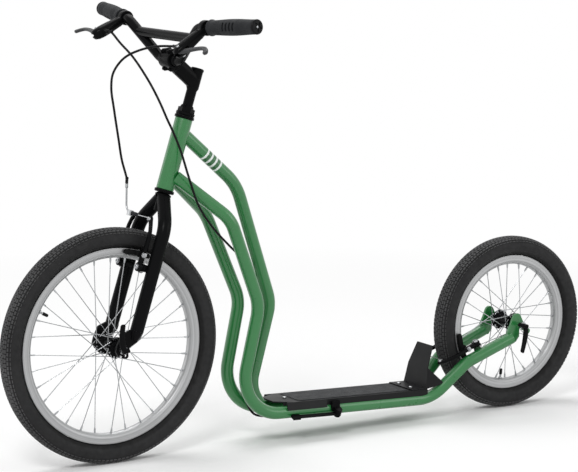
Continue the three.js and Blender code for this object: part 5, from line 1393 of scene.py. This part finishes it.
class KICKBIKE_OT_stem(bpy.types.Operator):
    """Forges the stem from a quill, an arm and a split clamp, and finishes its face plate"""

    bl_idname = "kickbike.stem"
    bl_label = "Stem"

    def execute(self, context):
        cap = STEM_CAP_HEIGHT
        top = STEM_BARREL_TOP
        post = [(0, HEAD_TOP), (QUILL_RADIUS, HEAD_TOP), (QUILL_RADIUS, STEM_BARREL_BOTTOM),
                (STEM_BARREL_RADIUS, STEM_BARREL_BOTTOM + QUILL_RADIUS / 2), (STEM_BARREL_RADIUS, top),
                (STEM_CAP_RADIUS, top + 0.0003), (STEM_CAP_RADIUS, top + cap * 0.6),
                (STEM_CAP_RADIUS * 0.86, top + cap), (STEM_CAP_RADIUS * 0.34, top + cap),
                (STEM_CAP_RADIUS * 0.32, top + cap * 0.3), (0, top + cap * 0.3)]
        flat_x, _, flat_z = BAR_FLAT_END
        end = Vector((flat_x, 0, flat_z))
        start = Vector((0.002, 0, flat_z - STEM_ARM_DROP))
        along = (end - start).normalized()
        turn = STEERING @ Matrix.Translation(end) @ Matrix.Rotation(-math.atan2(along.z, -along.x), 4, "Y")
        shape = self.clamp(turn, 1)
        add_lathe(shape, eased(post, 0.0008, 3), STEERING)
        across = Vector((0, 1, 0))
        up = STEERING.to_3x3() @ across.cross(along)
        rings = []
        for k in range(STEM_ARM_STEPS + 1):
            share = k / STEM_ARM_STEPS
            fat = (1 + 0.08 * (2 * share - 1) ** 4) / 2
            rings.append(section(STEERING @ start.lerp(end, share), STEERING.to_3x3() @ across, up,
                                 STEM_ARM_WIDTH * fat, STEM_ARM_HEIGHT * fat, 2.5, 40))
        add_rings(shape, rings)
        piece("stem_forged", shape, "black_paint", "steering", ["stem"], crease=40)
        piece("stem_face_plate_forged", self.clamp(turn, -1), "black_paint", "steering", ["stem_face_plate"], crease=40)
        bolts = bmesh.new()
        r = CLAMP_BOLT_RADIUS
        head = [(0, 0), (r, 0), (r, 0.0026), (r * 0.8, 0.0032), (r * 0.55, 0.0032), (r * 0.5, 0.0012), (0, 0.0012)]
        for y, z in CLAMP_BOLTS:
            seat = turn @ Matrix.Translation((-CLAMP_BOLT_FACE, y, z)) @ Matrix.Rotation(-math.pi / 2, 4, "Y")
            add_lathe(bolts, eased(head, 0.0003, 1), seat, 20)
        piece("stem_clamp_bolts", bolts, "black_paint", "steering")
        return {"FINISHED"}

    def clamp(self, turn, way):
        """One half of the ring round the bar, with a boss for each bolt."""
        ring = bmesh.new()
        add_collar(ring, SLEEVE_RADIUS + SEAT_GAP, CLAMP_RADIUS, CLAMP_WIDTH, 0.0016, turn)
        tool = bmesh.new()
        reach = CLAMP_RADIUS * 2
        low, high = sorted((-way * reach, way * CLAMP_SPLIT / 2))
        add_block(tool, (low, -CLAMP_WIDTH, -reach), (high, CLAMP_WIDTH, reach), turn)
        shape = carved(ring, tool)
        face = CLAMP_BOLT_FACE
        for y, z in CLAMP_BOLTS:
            seat = turn @ Matrix.Translation((0, y, z)) @ Matrix.Rotation(way * math.pi / 2, 4, "Y")
            boss = [(0, CLAMP_SPLIT / 2), (0.0056, CLAMP_SPLIT / 2), (0.0056, face - 0.001), (0.0048, face), (0, face)]
            add_lathe(shape, eased(boss, 0.0008, 2), seat, 24)
        return shape


def lever_frame(hand, side):
    """The frame at a brake lever's pivot, as its solid has it."""
    _, bend, end = bar_corners(side)
    share = (LEVER_SEAT - abs(bend.y)) / (abs(end.y) - abs(bend.y))
    seat = bend.lerp(end, share)
    tilt = LEVER_TILTS[hand]
    pivot = seat - Vector((math.cos(tilt), 0, math.sin(tilt))) * LEVER_REACH
    return STEERING @ Matrix.Translation(pivot) @ Matrix.Rotation(-tilt, 4, "Y")


class KICKBIKE_OT_levers(bpy.types.Operator):
    """Forges the brake levers, and the brackets that hold them with pins, screws and cable barrels"""

    bl_idname = "kickbike.levers"
    bl_label = "Brake levers"

    def execute(self, context):
        for hand, side in HANDS:
            place = lever_frame(hand, side)
            self.bracket(hand, side, place)
            self.blade(hand, side, place)
            self.screws(hand, place)
        return {"FINISHED"}

    def bracket(self, hand, side, place):
        """A swollen body from the bar clamp to the two lugs round the blade's eye."""
        shape = bmesh.new()
        turn = place.to_3x3()
        across, up = turn @ Vector((0, 1, 0)), turn @ Vector((0, 0, 1))
        add_rings(shape, [section(place @ Vector((x, -side * aside, 0)), across, up, wide, high, 2.6, 36)
                          for x, wide, high, aside in BRACKET_SECTIONS])
        slot = bmesh.new()
        room = BLADE_THICKNESS / 2 + BLADE_ROOM
        low, high = sorted((-side * SLOT_WALL, side * SLOT_REACH))
        add_block(slot, (-SLOT_FRONT, low, -room), (SLOT_BACK, high, room), place)
        body = carved(shape, slot)
        add_collar(body, BAR_RADIUS + SEAT_GAP, LEVER_CLAMP_RADIUS, LEVER_CLAMP_WIDTH, 0.0012,
                   place @ Matrix.Translation((LEVER_REACH, 0, 0)))
        knurl = [(0, 0.004), (0.0058, 0.004), (0.0058, 0.0145), (0.0068, 0.0155), (0.0068, 0.0205), (0.0052, 0.0215),
                 (0.0052, 0.030), (0.0045, 0.031), (0.0045, BARREL_END), (0, BARREL_END)]
        barrel = [(r, -side * y) for r, y in eased(knurl, 0.0004, 2)]
        add_lathe(body, barrel, place @ Matrix.Translation((BARREL_SETBACK, 0, 0)), 24, "Y")
        piece(f"{hand}_lever_bracket_forged", body, "black_paint", "steering", [f"{hand}_lever_bracket"], crease=40)

    def blade(self, hand, side, place):
        """A finger that bows towards the bar and ends in a hooked tip."""
        w, e, length = BLADE_WIDTH, LEVER_EYE_RADIUS * 0.85, BLADE_LENGTH
        outline = ((-e * 0.4, -e * 0.8), (-e, 0), (-w * 0.6, e), (-w * 0.2, length * 0.3), (w * 0.2, length * 0.58),
                   (w * 0.2, length * 0.78), (-w * 0.35, length * 0.89), (-w * 0.9, length * 0.95),
                   (-w * 0.95, length * 1.02), (-w * 0.55, length * 1.06), (w * 0.3, length * 0.97),
                   (w * 0.85, length * 0.83), (w * 0.95, length * 0.6), (w * 0.7, length * 0.3), (e * 0.8, e), (e, 0),
                   (e * 0.6, -e * 0.7))
        outline = [(x, side * y) for x, y in closed_curve(outline)]
        turned = place @ Matrix.Rotation(-side * BLADE_RESTS[hand], 4, "Z")
        shape = bmesh.new()
        add_plate(shape, outline, -BLADE_THICKNESS / 2, BLADE_THICKNESS / 2, turned)
        thing = piece(f"{hand}_brake_lever_forged", shape, "lever_grey", f"{hand}_lever", [f"{hand}_brake_lever"])
        round_edges(thing, 0.0024, 40, 4)

    def screws(self, hand, place):
        """The pivot pin's two heads and the clamp's screw."""
        r, face = LEVER_PIN_RADIUS, PIN_FACE
        pin = [(0, face - 0.002), (r * 1.1, face - 0.002), (r * 1.1, face + 0.0008), (r * 0.9, face + 0.0014),
               (r * 0.5, face + 0.0014), (r * 0.4, face + 0.0006), (0, face + 0.0006)]
        screw = [(0, 0.0075), (r, 0.0075), (r, 0.0108), (r * 0.5, 0.0108), (r * 0.45, 0.0096), (0, 0.0096)]
        screw_place = LEVER_REACH - LEVER_CLAMP_RADIUS - SCREW_GAP
        for name, profile, x, sides, finish in (
                ("pin", pin, PIN_ADVANCE, 24, "steel"), ("clamp_screw", screw, screw_place, 20, "black_paint")):
            shape = bmesh.new()
            for way in (-1, 1):
                flipped = [(radius, way * height) for radius, height in profile]
                add_lathe(shape, flipped, place @ Matrix.Translation((x, 0, 0)), sides)
            piece(f"{hand}_lever_{name}", shape, finish, "steering")


class KICKBIKE_OT_brakes(bpy.types.Operator):
    """Forges the brake arms and fits their pads, nuts, links, noodles, boots and bare wires"""

    bl_idname = "kickbike.brakes"
    bl_label = "Rim brakes"

    def execute(self, context):
        s = sizes()
        for wheel, place, rim, left in (("front", FRONT_BRAKE, s.front_rim_radius, -1),
                                        ("rear", REAR_BRAKE, s.rear_rim_radius, 1)):
            track = rim - BRAKE_TRACK_INSET
            for hand, side in (("left", left), ("right", -left)):
                self.arm(f"{wheel}_{hand}", place, track, side)
                self.pad(f"{wheel}_{hand}", place, track, side)
            self.pull(wheel, place, track, -left)
        return {"FINISHED"}

    def arm(self, name, place, track, side):
        """A slender bowed arm from its eye on the stud, past the pad, to the cable."""
        low = track - BRAKE_PIVOT_DROP
        turn = place.to_3x3()
        forward = Vector((1, 0, 0))
        points = [Vector((-BRAKE_ARM_ADVANCE, side * y, low + z)) for y, z, _, _ in BRAKE_ARM_SECTIONS]
        shape = bmesh.new()
        add_rings(shape, [
            section(place @ point, turn @ along.cross(forward), turn @ forward, wide, deep, 2.7, 28)
            for point, along, (_, _, wide, deep) in zip(points, headings(points), BRAKE_ARM_SECTIONS)])
        bore = BRAKE_STUD_RADIUS + SEAT_GAP
        stud = Matrix.Translation((-BRAKE_ARM_ADVANCE, side * BRAKE_PIVOT_SPREAD, low))
        turned = place @ stud @ Matrix.Rotation(math.pi / 2, 4, "Y")
        reach = BRAKE_EYE_RADIUS * 2
        shape = carved(shape, lathed([(0, -reach), (bore, -reach), (bore, reach), (0, reach)], turned, 24))
        add_collar(shape, bore, BRAKE_EYE_RADIUS, BRAKE_ARM_THICKNESS, 0.0011, turned, 32, "Z")
        spring = [turned @ Vector((math.cos(angle) * SPRING_RADIUS, math.sin(angle) * SPRING_RADIUS,
                                   BRAKE_ARM_THICKNESS / 4 + angle * SPRING_RISE))
                  for angle in (math.tau * k / 20 for k in range(50))]
        add_sweep(shape, spring, SPRING_WIRE_RADIUS, 8)
        body = body_of(f"{name}_brake_arm")
        piece(f"{name}_brake_arm_forged", shape, "black_paint", body, [f"{name}_brake_arm"], crease=45)
        self.nuts(name, place, track, side, body)

    def seat(self, place, track, side):
        """The frame on the wheel's middle plane at the pad, with Z out along the pad's post."""
        return place @ Matrix.Translation((-BRAKE_ARM_ADVANCE, 0, track)) @ Matrix.Rotation(-side * math.pi / 2, 4, "X")

    def nuts(self, name, place, track, side, body):
        """The washer and six-sided nut on the pad's post, and the left arm's clamp bolt for the wire."""
        nut = bmesh.new()
        seat = self.seat(place, track, side)
        begin = BRAKE_PIVOT_SPREAD + NUT_GAP
        washer = [(0, begin), (WASHER_RADIUS, begin), (WASHER_RADIUS, begin + 0.0015), (0, begin + 0.0015)]
        add_lathe(nut, eased(washer, 0.0003, 2), seat, 24)
        hexagon = [(0, begin), (NUT_RADIUS, begin), (NUT_RADIUS, begin + 0.005), (0.0028, begin + 0.005),
                   (0.0026, begin + 0.0075), (0, begin + 0.0075)]
        add_lathe(nut, eased(hexagon, 0.0004, 2), seat, 6)
        if name.endswith("left"):
            low = track - BRAKE_PIVOT_DROP
            tip = place @ Matrix.Translation((-BRAKE_ARM_ADVANCE - 0.0035, side * 0.037, low + 0.103))
            head = [(0, 0), (0.0042, 0), (0.0042, 0.0035), (0.003, 0.0042), (0.0019, 0.0042), (0.0017, 0.0028),
                    (0, 0.0028)]
            add_lathe(nut, eased(head, 0.0003, 1), tip @ Matrix.Rotation(-math.pi / 2, 4, "Y"), 20)
        piece(f"{name}_brake_nuts", nut, "steel", body)

    def pad(self, name, place, track, side):
        """A shoe that follows the rim, with wear grooves, on a post with domed washers."""
        face = RIM_WIDTH / 2 + PAD_GAP
        back = face + PAD_THICKNESS
        shape = bmesh.new()
        rings = []
        steps = 30
        for k in range(steps + 1):
            share = 2 * k / steps - 1
            x = -BRAKE_ARM_ADVANCE + share * PAD_HALF_LENGTH
            z = math.sqrt(track ** 2 - x ** 2)
            ends = max(0, 1 - abs(share) ** 8) ** 0.5
            high = PAD_HALF_HEIGHT * (0.55 + 0.45 * ends)
            inner = face + (PAD_GROOVE if k % 8 == 4 else 0)
            outer = back - (1 - ends) * 0.003
            ring = [(inner, -high), (outer - 0.0008, -high), (outer, -high + 0.0015), (outer, high - 0.0015),
                    (outer - 0.0008, high), (inner, high)]
            rings.append([place @ Vector((x, side * y, z + lift)) for y, lift in ring])
        add_rings(shape, rings)
        stop = BRAKE_PIVOT_SPREAD - PAD_POST_GAP
        room = stop - back
        stack = [(0, back - 0.001), (0.0058, back - 0.001), (0.0058, back + room * 0.12), (0.0035, back + room * 0.16),
                 (0.0035, back + room * 0.4), (0.0068, back + room * 0.45), (0.0074, back + room * 0.62),
                 (0.005, back + room * 0.7), (0.0062, back + room * 0.74), (0.0066, stop), (0, stop)]
        add_lathe(shape, eased(stack, 0.0004, 2), self.seat(place, track, side), 28)
        node = f"{name}_brake_pad"
        piece(f"{node}_moulded", shape, "pad_rubber", body_of(node), [node], crease=40)

    def pull(self, wheel, place, track, side):
        """The bent pipe on one arm, its link, the ribbed boot and the wire to the other arm."""
        node = f"{wheel}_noodle"
        body = body_of(node)
        x, tip = -PULL_ADVANCE, track - BRAKE_PIVOT_DROP + PULL_RISE
        corner, inner = (Vector((x, side * y, tip)) for y in (NOODLE_CORNER, NOODLE_INNER))
        bent = bent_route([corner + NOODLE_MOUTHS[wheel], corner, inner], [NOODLE_BEND], 5)
        route = [place @ point for point in bent]
        pipe = swept(dense(route, 0.01), NOODLE_RADIUS, 20)
        cup = [(0, 0), (0.0034, 0), (0.0034, 0.008), (0.0024, 0.0095), (0, 0.0095)]
        add_lathe(pipe, eased(cup, 0.0003, 2), facing(route[0], (route[1] - route[0]).normalized()), 20)
        wire = [place @ Vector((x, side * y, tip)) for y in (0.029, -0.020, -0.042)]
        wire.append(place @ Vector((x, -side * 0.049, tip - 0.0012)))
        add_sweep(pipe, wire, WIRE_RADIUS, 10)
        piece(f"{node}_bent", pipe, "steel", body, [node])
        link = bmesh.new()
        outline = [(a, side * b) for a, b in closed_curve(LINK_OUTLINE, 3)]
        add_plate(link, outline, -LINK_HALF, LINK_HALF, place @ Matrix.Translation((x, 0, tip)))
        round_edges(piece(f"{node}_link", link, "steel", body), 0.0007, 40, 2)
        profile = [(0, 0), (0.0034, 0)]
        for k in range(BOOT_RIBS):
            y = 0.001 + k * BOOT_PITCH
            profile += [(0.0042, y), (0.0044, y + 0.0012), (0.0032, y + 0.0024)]
        profile += [(0.0022, 0.0235), (0.0018, 0.026), (0, 0.026)]
        turned = place @ Matrix.Translation(inner) @ Matrix.Rotation(side * math.pi / 2, 4, "X")
        piece(f"{node}_boot", lathed(eased(profile, 0.0004, 1), turned, 24), "grip_rubber", body, crease=60)


class KICKBIKE_OT_footboard(bpy.types.Operator):
    """Finishes the footboard, the heel guard and the side stand"""

    bl_idname = "kickbike.footboard"
    bl_label = "Footboard, heel guard and stand"

    def execute(self, context):
        finished_copy("footboard", "board_edge", "coated", 0.0007, 30)
        self.sheet()
        finished_copy("heel_guard", "charcoal", "folded", 0.0006, 30)
        finished_copy("stand_bracket", "black_paint", "forged", 0.0008)
        finished_copy("side_stand", "black_paint", "forged", 0.001)
        return {"FINISHED"}

    def sheet(self):
        """The gritty sheet stuck on the footboard's panel, its corners rounded."""
        shape = merged("footboard")
        level = [face for face in shape.faces if face.normal.z > 0.98 and len(face.verts) == 4]
        panel = max(level, key=lambda face: face.calc_area())
        corners = [vert.co.copy() for vert in panel.verts]
        normal = panel.normal.copy()
        shape.free()
        outline = []
        for i, corner in enumerate(corners):
            into = (corners[i - 1] - corner).normalized()
            out = (corners[(i + 1) % 4] - corner).normalized()
            centre = corner + (into + out) * SHEET_INSET + (into + out) * SHEET_CORNER
            for k in range(7):
                angle = math.pi / 2 * k / 6
                outline.append(centre - (into * math.sin(angle) + out * math.cos(angle)) * SHEET_CORNER)
        sheet = bmesh.new()
        centre = sum(outline, Vector()) / len(outline)
        rings = [[centre + (point - centre) * share + normal * lift for point in outline]
                 for lift, share in SHEET_LAYERS]
        add_rings(sheet, rings)
        piece("footboard_grip_sheet", sheet, "board", "frame")
        self.rivets(corners[0], normal)

    def rivets(self, origin, normal):
        """Bright domes on the heads that hold the footboard and the heel guard."""
        domes = bmesh.new()
        for node, low in RIVET_FLOORS:
            found = {}
            for vert in frame["nodes"][node].data.vertices:
                height = (vert.co - origin).dot(normal)
                if low < height < low + RIVET_BAND and abs(vert.co.y) < RIVET_REACH:
                    found.setdefault(round(vert.co.y / RIVET_SPREAD), []).append(vert.co)
            for points in found.values():
                add_lathe(domes, RIVET_DOME, facing(sum(points, Vector()) / len(points), normal), 20)
        piece("deck_rivets", domes, "steel", "frame")


class KICKBIKE_OT_axles(bpy.types.Operator):
    """Finishes the axles and their quick release levers"""

    bl_idname = "kickbike.axles"
    bl_label = "Axles"

    def execute(self, context):
        for wheel in ("front", "rear"):
            finished_copy(f"{wheel}_axle", "steel", "turned", 0.0006, 32)
            self.lever(wheel)
        return {"FINISHED"}

    def lever(self, wheel):
        """A lever with a cranked head over the cam, thick at its barrel and thinner to its blunt end."""
        node = f"{wheel}_release_lever"
        axle = FRONT_AXLE if wheel == "front" else REAR_AXLE
        place = Matrix.Translation(axle) @ Matrix.Rotation(RELEASE_ANGLES[wheel], 4, "Y")
        turn = place.to_3x3()
        head = RELEASE_HEADS[wheel]
        spots = smooth_route([Vector((x * head if x > 0 else x, y, z)) for x, y, z in RELEASE_SPOTS], 0.003)
        out = Vector((0, 1, 0))
        shape = bmesh.new()
        rings = []
        for k, (spot, along) in enumerate(zip(spots, headings(spots))):
            share = k / (len(spots) - 1)
            across = along.cross(out).normalized()
            ends = max(0, share - 0.965, 0.05 - share) / 0.05
            full = math.sqrt(max(0.12, 1 - ends ** 2))
            grown = min(1, max(0, spot.z - 0.002) / 0.012)
            wide = (RELEASE_RADIUS + (0.0034 - 0.0026 * share) * grown) * full
            thick = (RELEASE_RADIUS - 0.0020 * share * grown) * full
            rings.append(section(place @ spot, turn @ across, turn @ out, wide, thick, 2.8, 32))
        add_rings(shape, rings)
        seat = place @ Matrix.Translation((0, -RELEASE_PIVOT, 0)) @ Matrix.Rotation(math.pi / 2, 4, "Y")
        barrel = [(0, -0.008), (0.0049, -0.008), (0.0049, 0.008), (0, 0.008)]
        add_lathe(shape, eased(barrel, 0.0008, 2), seat, 32)
        piece(f"{node}_forged", shape, "black_paint", body_of(node), [node], crease=45)


class KICKBIKE_OT_cables(bpy.types.Operator):
    """Lays the brake cable housings along their routes, with a ferrule at each end"""

    bl_idname = "kickbike.cables"
    bl_label = "Cables"

    def execute(self, context):
        self.housing("front_cable_housing", FRONT_CABLE, "steering", ["front_cable"])
        rear = self.housing("rear_cable_housing", REAR_CABLE, None, ["rear_cable_upper", "rear_cable_lower"])
        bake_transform(rear)
        return {"FINISHED"}

    def housing(self, name, points, body, nodes):
        route = smooth_route([Vector(point) / 1000 for point in points], 0.004)
        shape = swept(route, CABLE_RADIUS, 16)
        r, length = FERRULE_RADIUS, FERRULE_LENGTH
        cap = [(0, 0), (r, 0), (r, length * 0.7), (r * 1.12, length * 0.74), (r * 1.12, length * 0.86),
               (r * 0.9, length), (0, length)]
        for end, inner in ((route[0], route[1]), (route[-1], route[-2])):
            add_lathe(shape, eased(cap, 0.0003, 1), facing(end, (inner - end).normalized()), 20)
        return piece(name, shape, "plastic", body, nodes, crease=40)


# Camera, floor and light
CAMERA_AZIMUTH = math.radians(-32.30)
CAMERA_ELEVATION = math.radians(9.07)
CAMERA_ROLL = math.radians(0.51)
CAMERA_DISTANCE = 5.103
CAMERA_TARGET = (-0.05725, 0, 0.4535)
CAMERA_LENS = 144.1
SENSOR_WIDTH = 36
CLIP_START, CLIP_END = 0.1, 100
FLOOR_HALF = 30
FLOOR_FADE_START, FLOOR_FADE_END = 0.9, 2.6
SOFT_LIGHT = 0.55
LIGHT_AIM = Vector((0, 0, 0.35))
# Each lamp's name, place, width, height and power
LAMPS = (
    ("key_light", (-2.6, -2.2, 3.4), 1.3, 1.3, 60),
    ("fill_light", (2.6, -3.0, 1.8), 2.2, 2.2, 20),
    ("top_light", (0.4, 1.2, 3.4), 2.4, 2.4, 46),
    ("strip_light", (-2.6, 3.3, 1.3), 1.2, 2.4, 8),
)
WHITE = (1, 1, 1, 1)


def seen_directly(nodes, links):
    """One for what the camera sees straight, mirrored or through glass, and zero for soft light."""
    ray = nodes.new("ShaderNodeLightPath")
    total = ray.outputs["Is Camera Ray"]
    for key in ("Is Glossy Ray", "Is Transmission Ray"):
        larger = nodes.new("ShaderNodeMath")
        larger.operation = "MAXIMUM"
        links.new(total, larger.inputs[0])
        links.new(ray.outputs[key], larger.inputs[1])
        total = larger.outputs[0]
    return total


def mix_surfaces(nodes, links, factor, first, second, output):
    """Sends a mix of two surfaces to an output: the first where the factor is 0, the second where it is 1."""
    mixed = nodes.new("ShaderNodeMixShader")
    for socket, source in zip(mixed.inputs, (factor, first.outputs[0], second.outputs[0])):
        links.new(source, socket)
    links.new(mixed.outputs[0], nodes[output].inputs["Surface"])


class KICKBIKE_OT_stage(bpy.types.Operator):
    """Sets the camera, a plain pale floor and soft studio light"""

    bl_idname = "kickbike.stage"
    bl_label = "Stage"

    def execute(self, context):
        self.camera(context.scene)
        self.floor()
        self.light(context.scene)
        context.scene.view_settings.view_transform = "Standard"
        return {"FINISHED"}

    def camera(self, scene):
        azimuth, elevation = CAMERA_AZIMUTH, CAMERA_ELEVATION
        back = Vector((math.sin(azimuth) * math.cos(elevation), -math.cos(azimuth) * math.cos(elevation),
                       math.sin(elevation)))
        right = (-back).cross(Vector((0, 0, 1))).normalized()
        up = back.cross(right).normalized()
        cosine, sine = math.cos(CAMERA_ROLL), math.sin(CAMERA_ROLL)
        right, up = right * cosine + up * sine, up * cosine - right * sine
        data = bpy.data.cameras.new("photo_camera")
        data.lens = CAMERA_LENS
        data.sensor_width = SENSOR_WIDTH
        data.clip_start, data.clip_end = CLIP_START, CLIP_END
        camera = new_object("photo_camera", data)
        place = Matrix.Translation(Vector(CAMERA_TARGET) + back * CAMERA_DISTANCE)
        camera.matrix_world = place @ turned_to((right, up, back))
        scene.camera = camera

    def floor(self):
        mesh = bpy.data.meshes.new("studio_floor")
        corners = [(x * FLOOR_HALF, y * FLOOR_HALF, 0) for x, y in ((-1, -1), (1, -1), (1, 1), (-1, 1))]
        mesh.from_pydata(corners, [], [(0, 1, 2, 3)])
        mesh.materials.append(self.floor_finish())
        new_object("studio_floor", mesh)

    def floor_finish(self):
        """Pale and matt under the object, and fading into the white background with distance."""
        s = Shading("studio_floor")
        s.finish(Base_Color=colours().floor, Roughness=0.9, Specular_IOR_Level=0.1)
        distance = s.add("ShaderNodeVectorMath", operation="LENGTH")
        s.join(s.place, distance.inputs[0])
        far = s.spread(distance.outputs["Value"], FLOOR_FADE_START, FLOOR_FADE_END, 0, 1)
        white = s.add("ShaderNodeEmission")
        white.inputs["Color"].default_value = WHITE
        white.inputs["Strength"].default_value = 1
        shown = s.math("MULTIPLY", far, seen_directly(s.nodes, s.links))
        mix_surfaces(s.nodes, s.links, shown, s.shader, white, "Material Output")
        return s.material

    def light(self, scene):
        world = bpy.data.worlds.new("studio")
        scene.world = world
        world.use_nodes = True
        nodes, links = world.node_tree.nodes, world.node_tree.links
        soft, seen = nodes["Background"], nodes.new("ShaderNodeBackground")
        for surface, strength in ((soft, SOFT_LIGHT), (seen, 1)):
            surface.inputs["Color"].default_value = WHITE
            surface.inputs["Strength"].default_value = strength
        mix_surfaces(nodes, links, seen_directly(nodes, links), soft, seen, "World Output")
        for name, place, width, height, power in LAMPS:
            data = bpy.data.lights.new(name, "AREA")
            data.shape = "ELLIPSE"
            data.size, data.size_y = width, height
            data.energy = power
            aim = LIGHT_AIM - Vector(place)
            turn = aim.to_track_quat("-Z", "Y").to_matrix().to_4x4()
            new_object(name, data).matrix_world = Matrix.Translation(place) @ turn


class KICKBIKE_PT_panel(bpy.types.Panel):
    """Lists the kick bike's pieces"""

    bl_idname = "KICKBIKE_PT_panel"
    bl_label = "Kick bike"
    bl_space_type = "VIEW_3D"
    bl_region_type = "UI"
    bl_category = "Kick bike"

    def draw(self, context):
        for group in (sizes(), colours()):
            box = self.layout.box()
            for key in group.__annotations__:
                box.prop(group, key)
        for operator in PIECES:
            self.layout.operator(operator.bl_idname)


PIECES = (
    KICKBIKE_OT_stage,
    KICKBIKE_OT_tyres,
    KICKBIKE_OT_rims,
    KICKBIKE_OT_hubs,
    KICKBIKE_OT_axles,
    KICKBIKE_OT_frame_tubes,
    KICKBIKE_OT_headset,
    KICKBIKE_OT_fork,
    KICKBIKE_OT_stem,
    KICKBIKE_OT_handlebar,
    KICKBIKE_OT_levers,
    KICKBIKE_OT_brakes,
    KICKBIKE_OT_footboard,
    KICKBIKE_OT_cables,
)
CLASSES = (KickBikeSizes, KickBikeColours, *PIECES, KICKBIKE_PT_panel)


def register():
    for item in CLASSES:
        bpy.utils.register_class(item)
    bpy.types.Scene.kick_bike_sizes = PointerProperty(type=KickBikeSizes)
    bpy.types.Scene.kick_bike_colours = PointerProperty(type=KickBikeColours)


def unregister():
    del bpy.types.Scene.kick_bike_sizes
    del bpy.types.Scene.kick_bike_colours
    for item in reversed(CLASSES):
        bpy.utils.unregister_class(item)


def main():
    register()
    make_finishes()
    for operator in PIECES:
        group, name = operator.bl_idname.split(".")
        getattr(getattr(bpy.ops, group), name)()


if __name__ == "__main__":
    main()
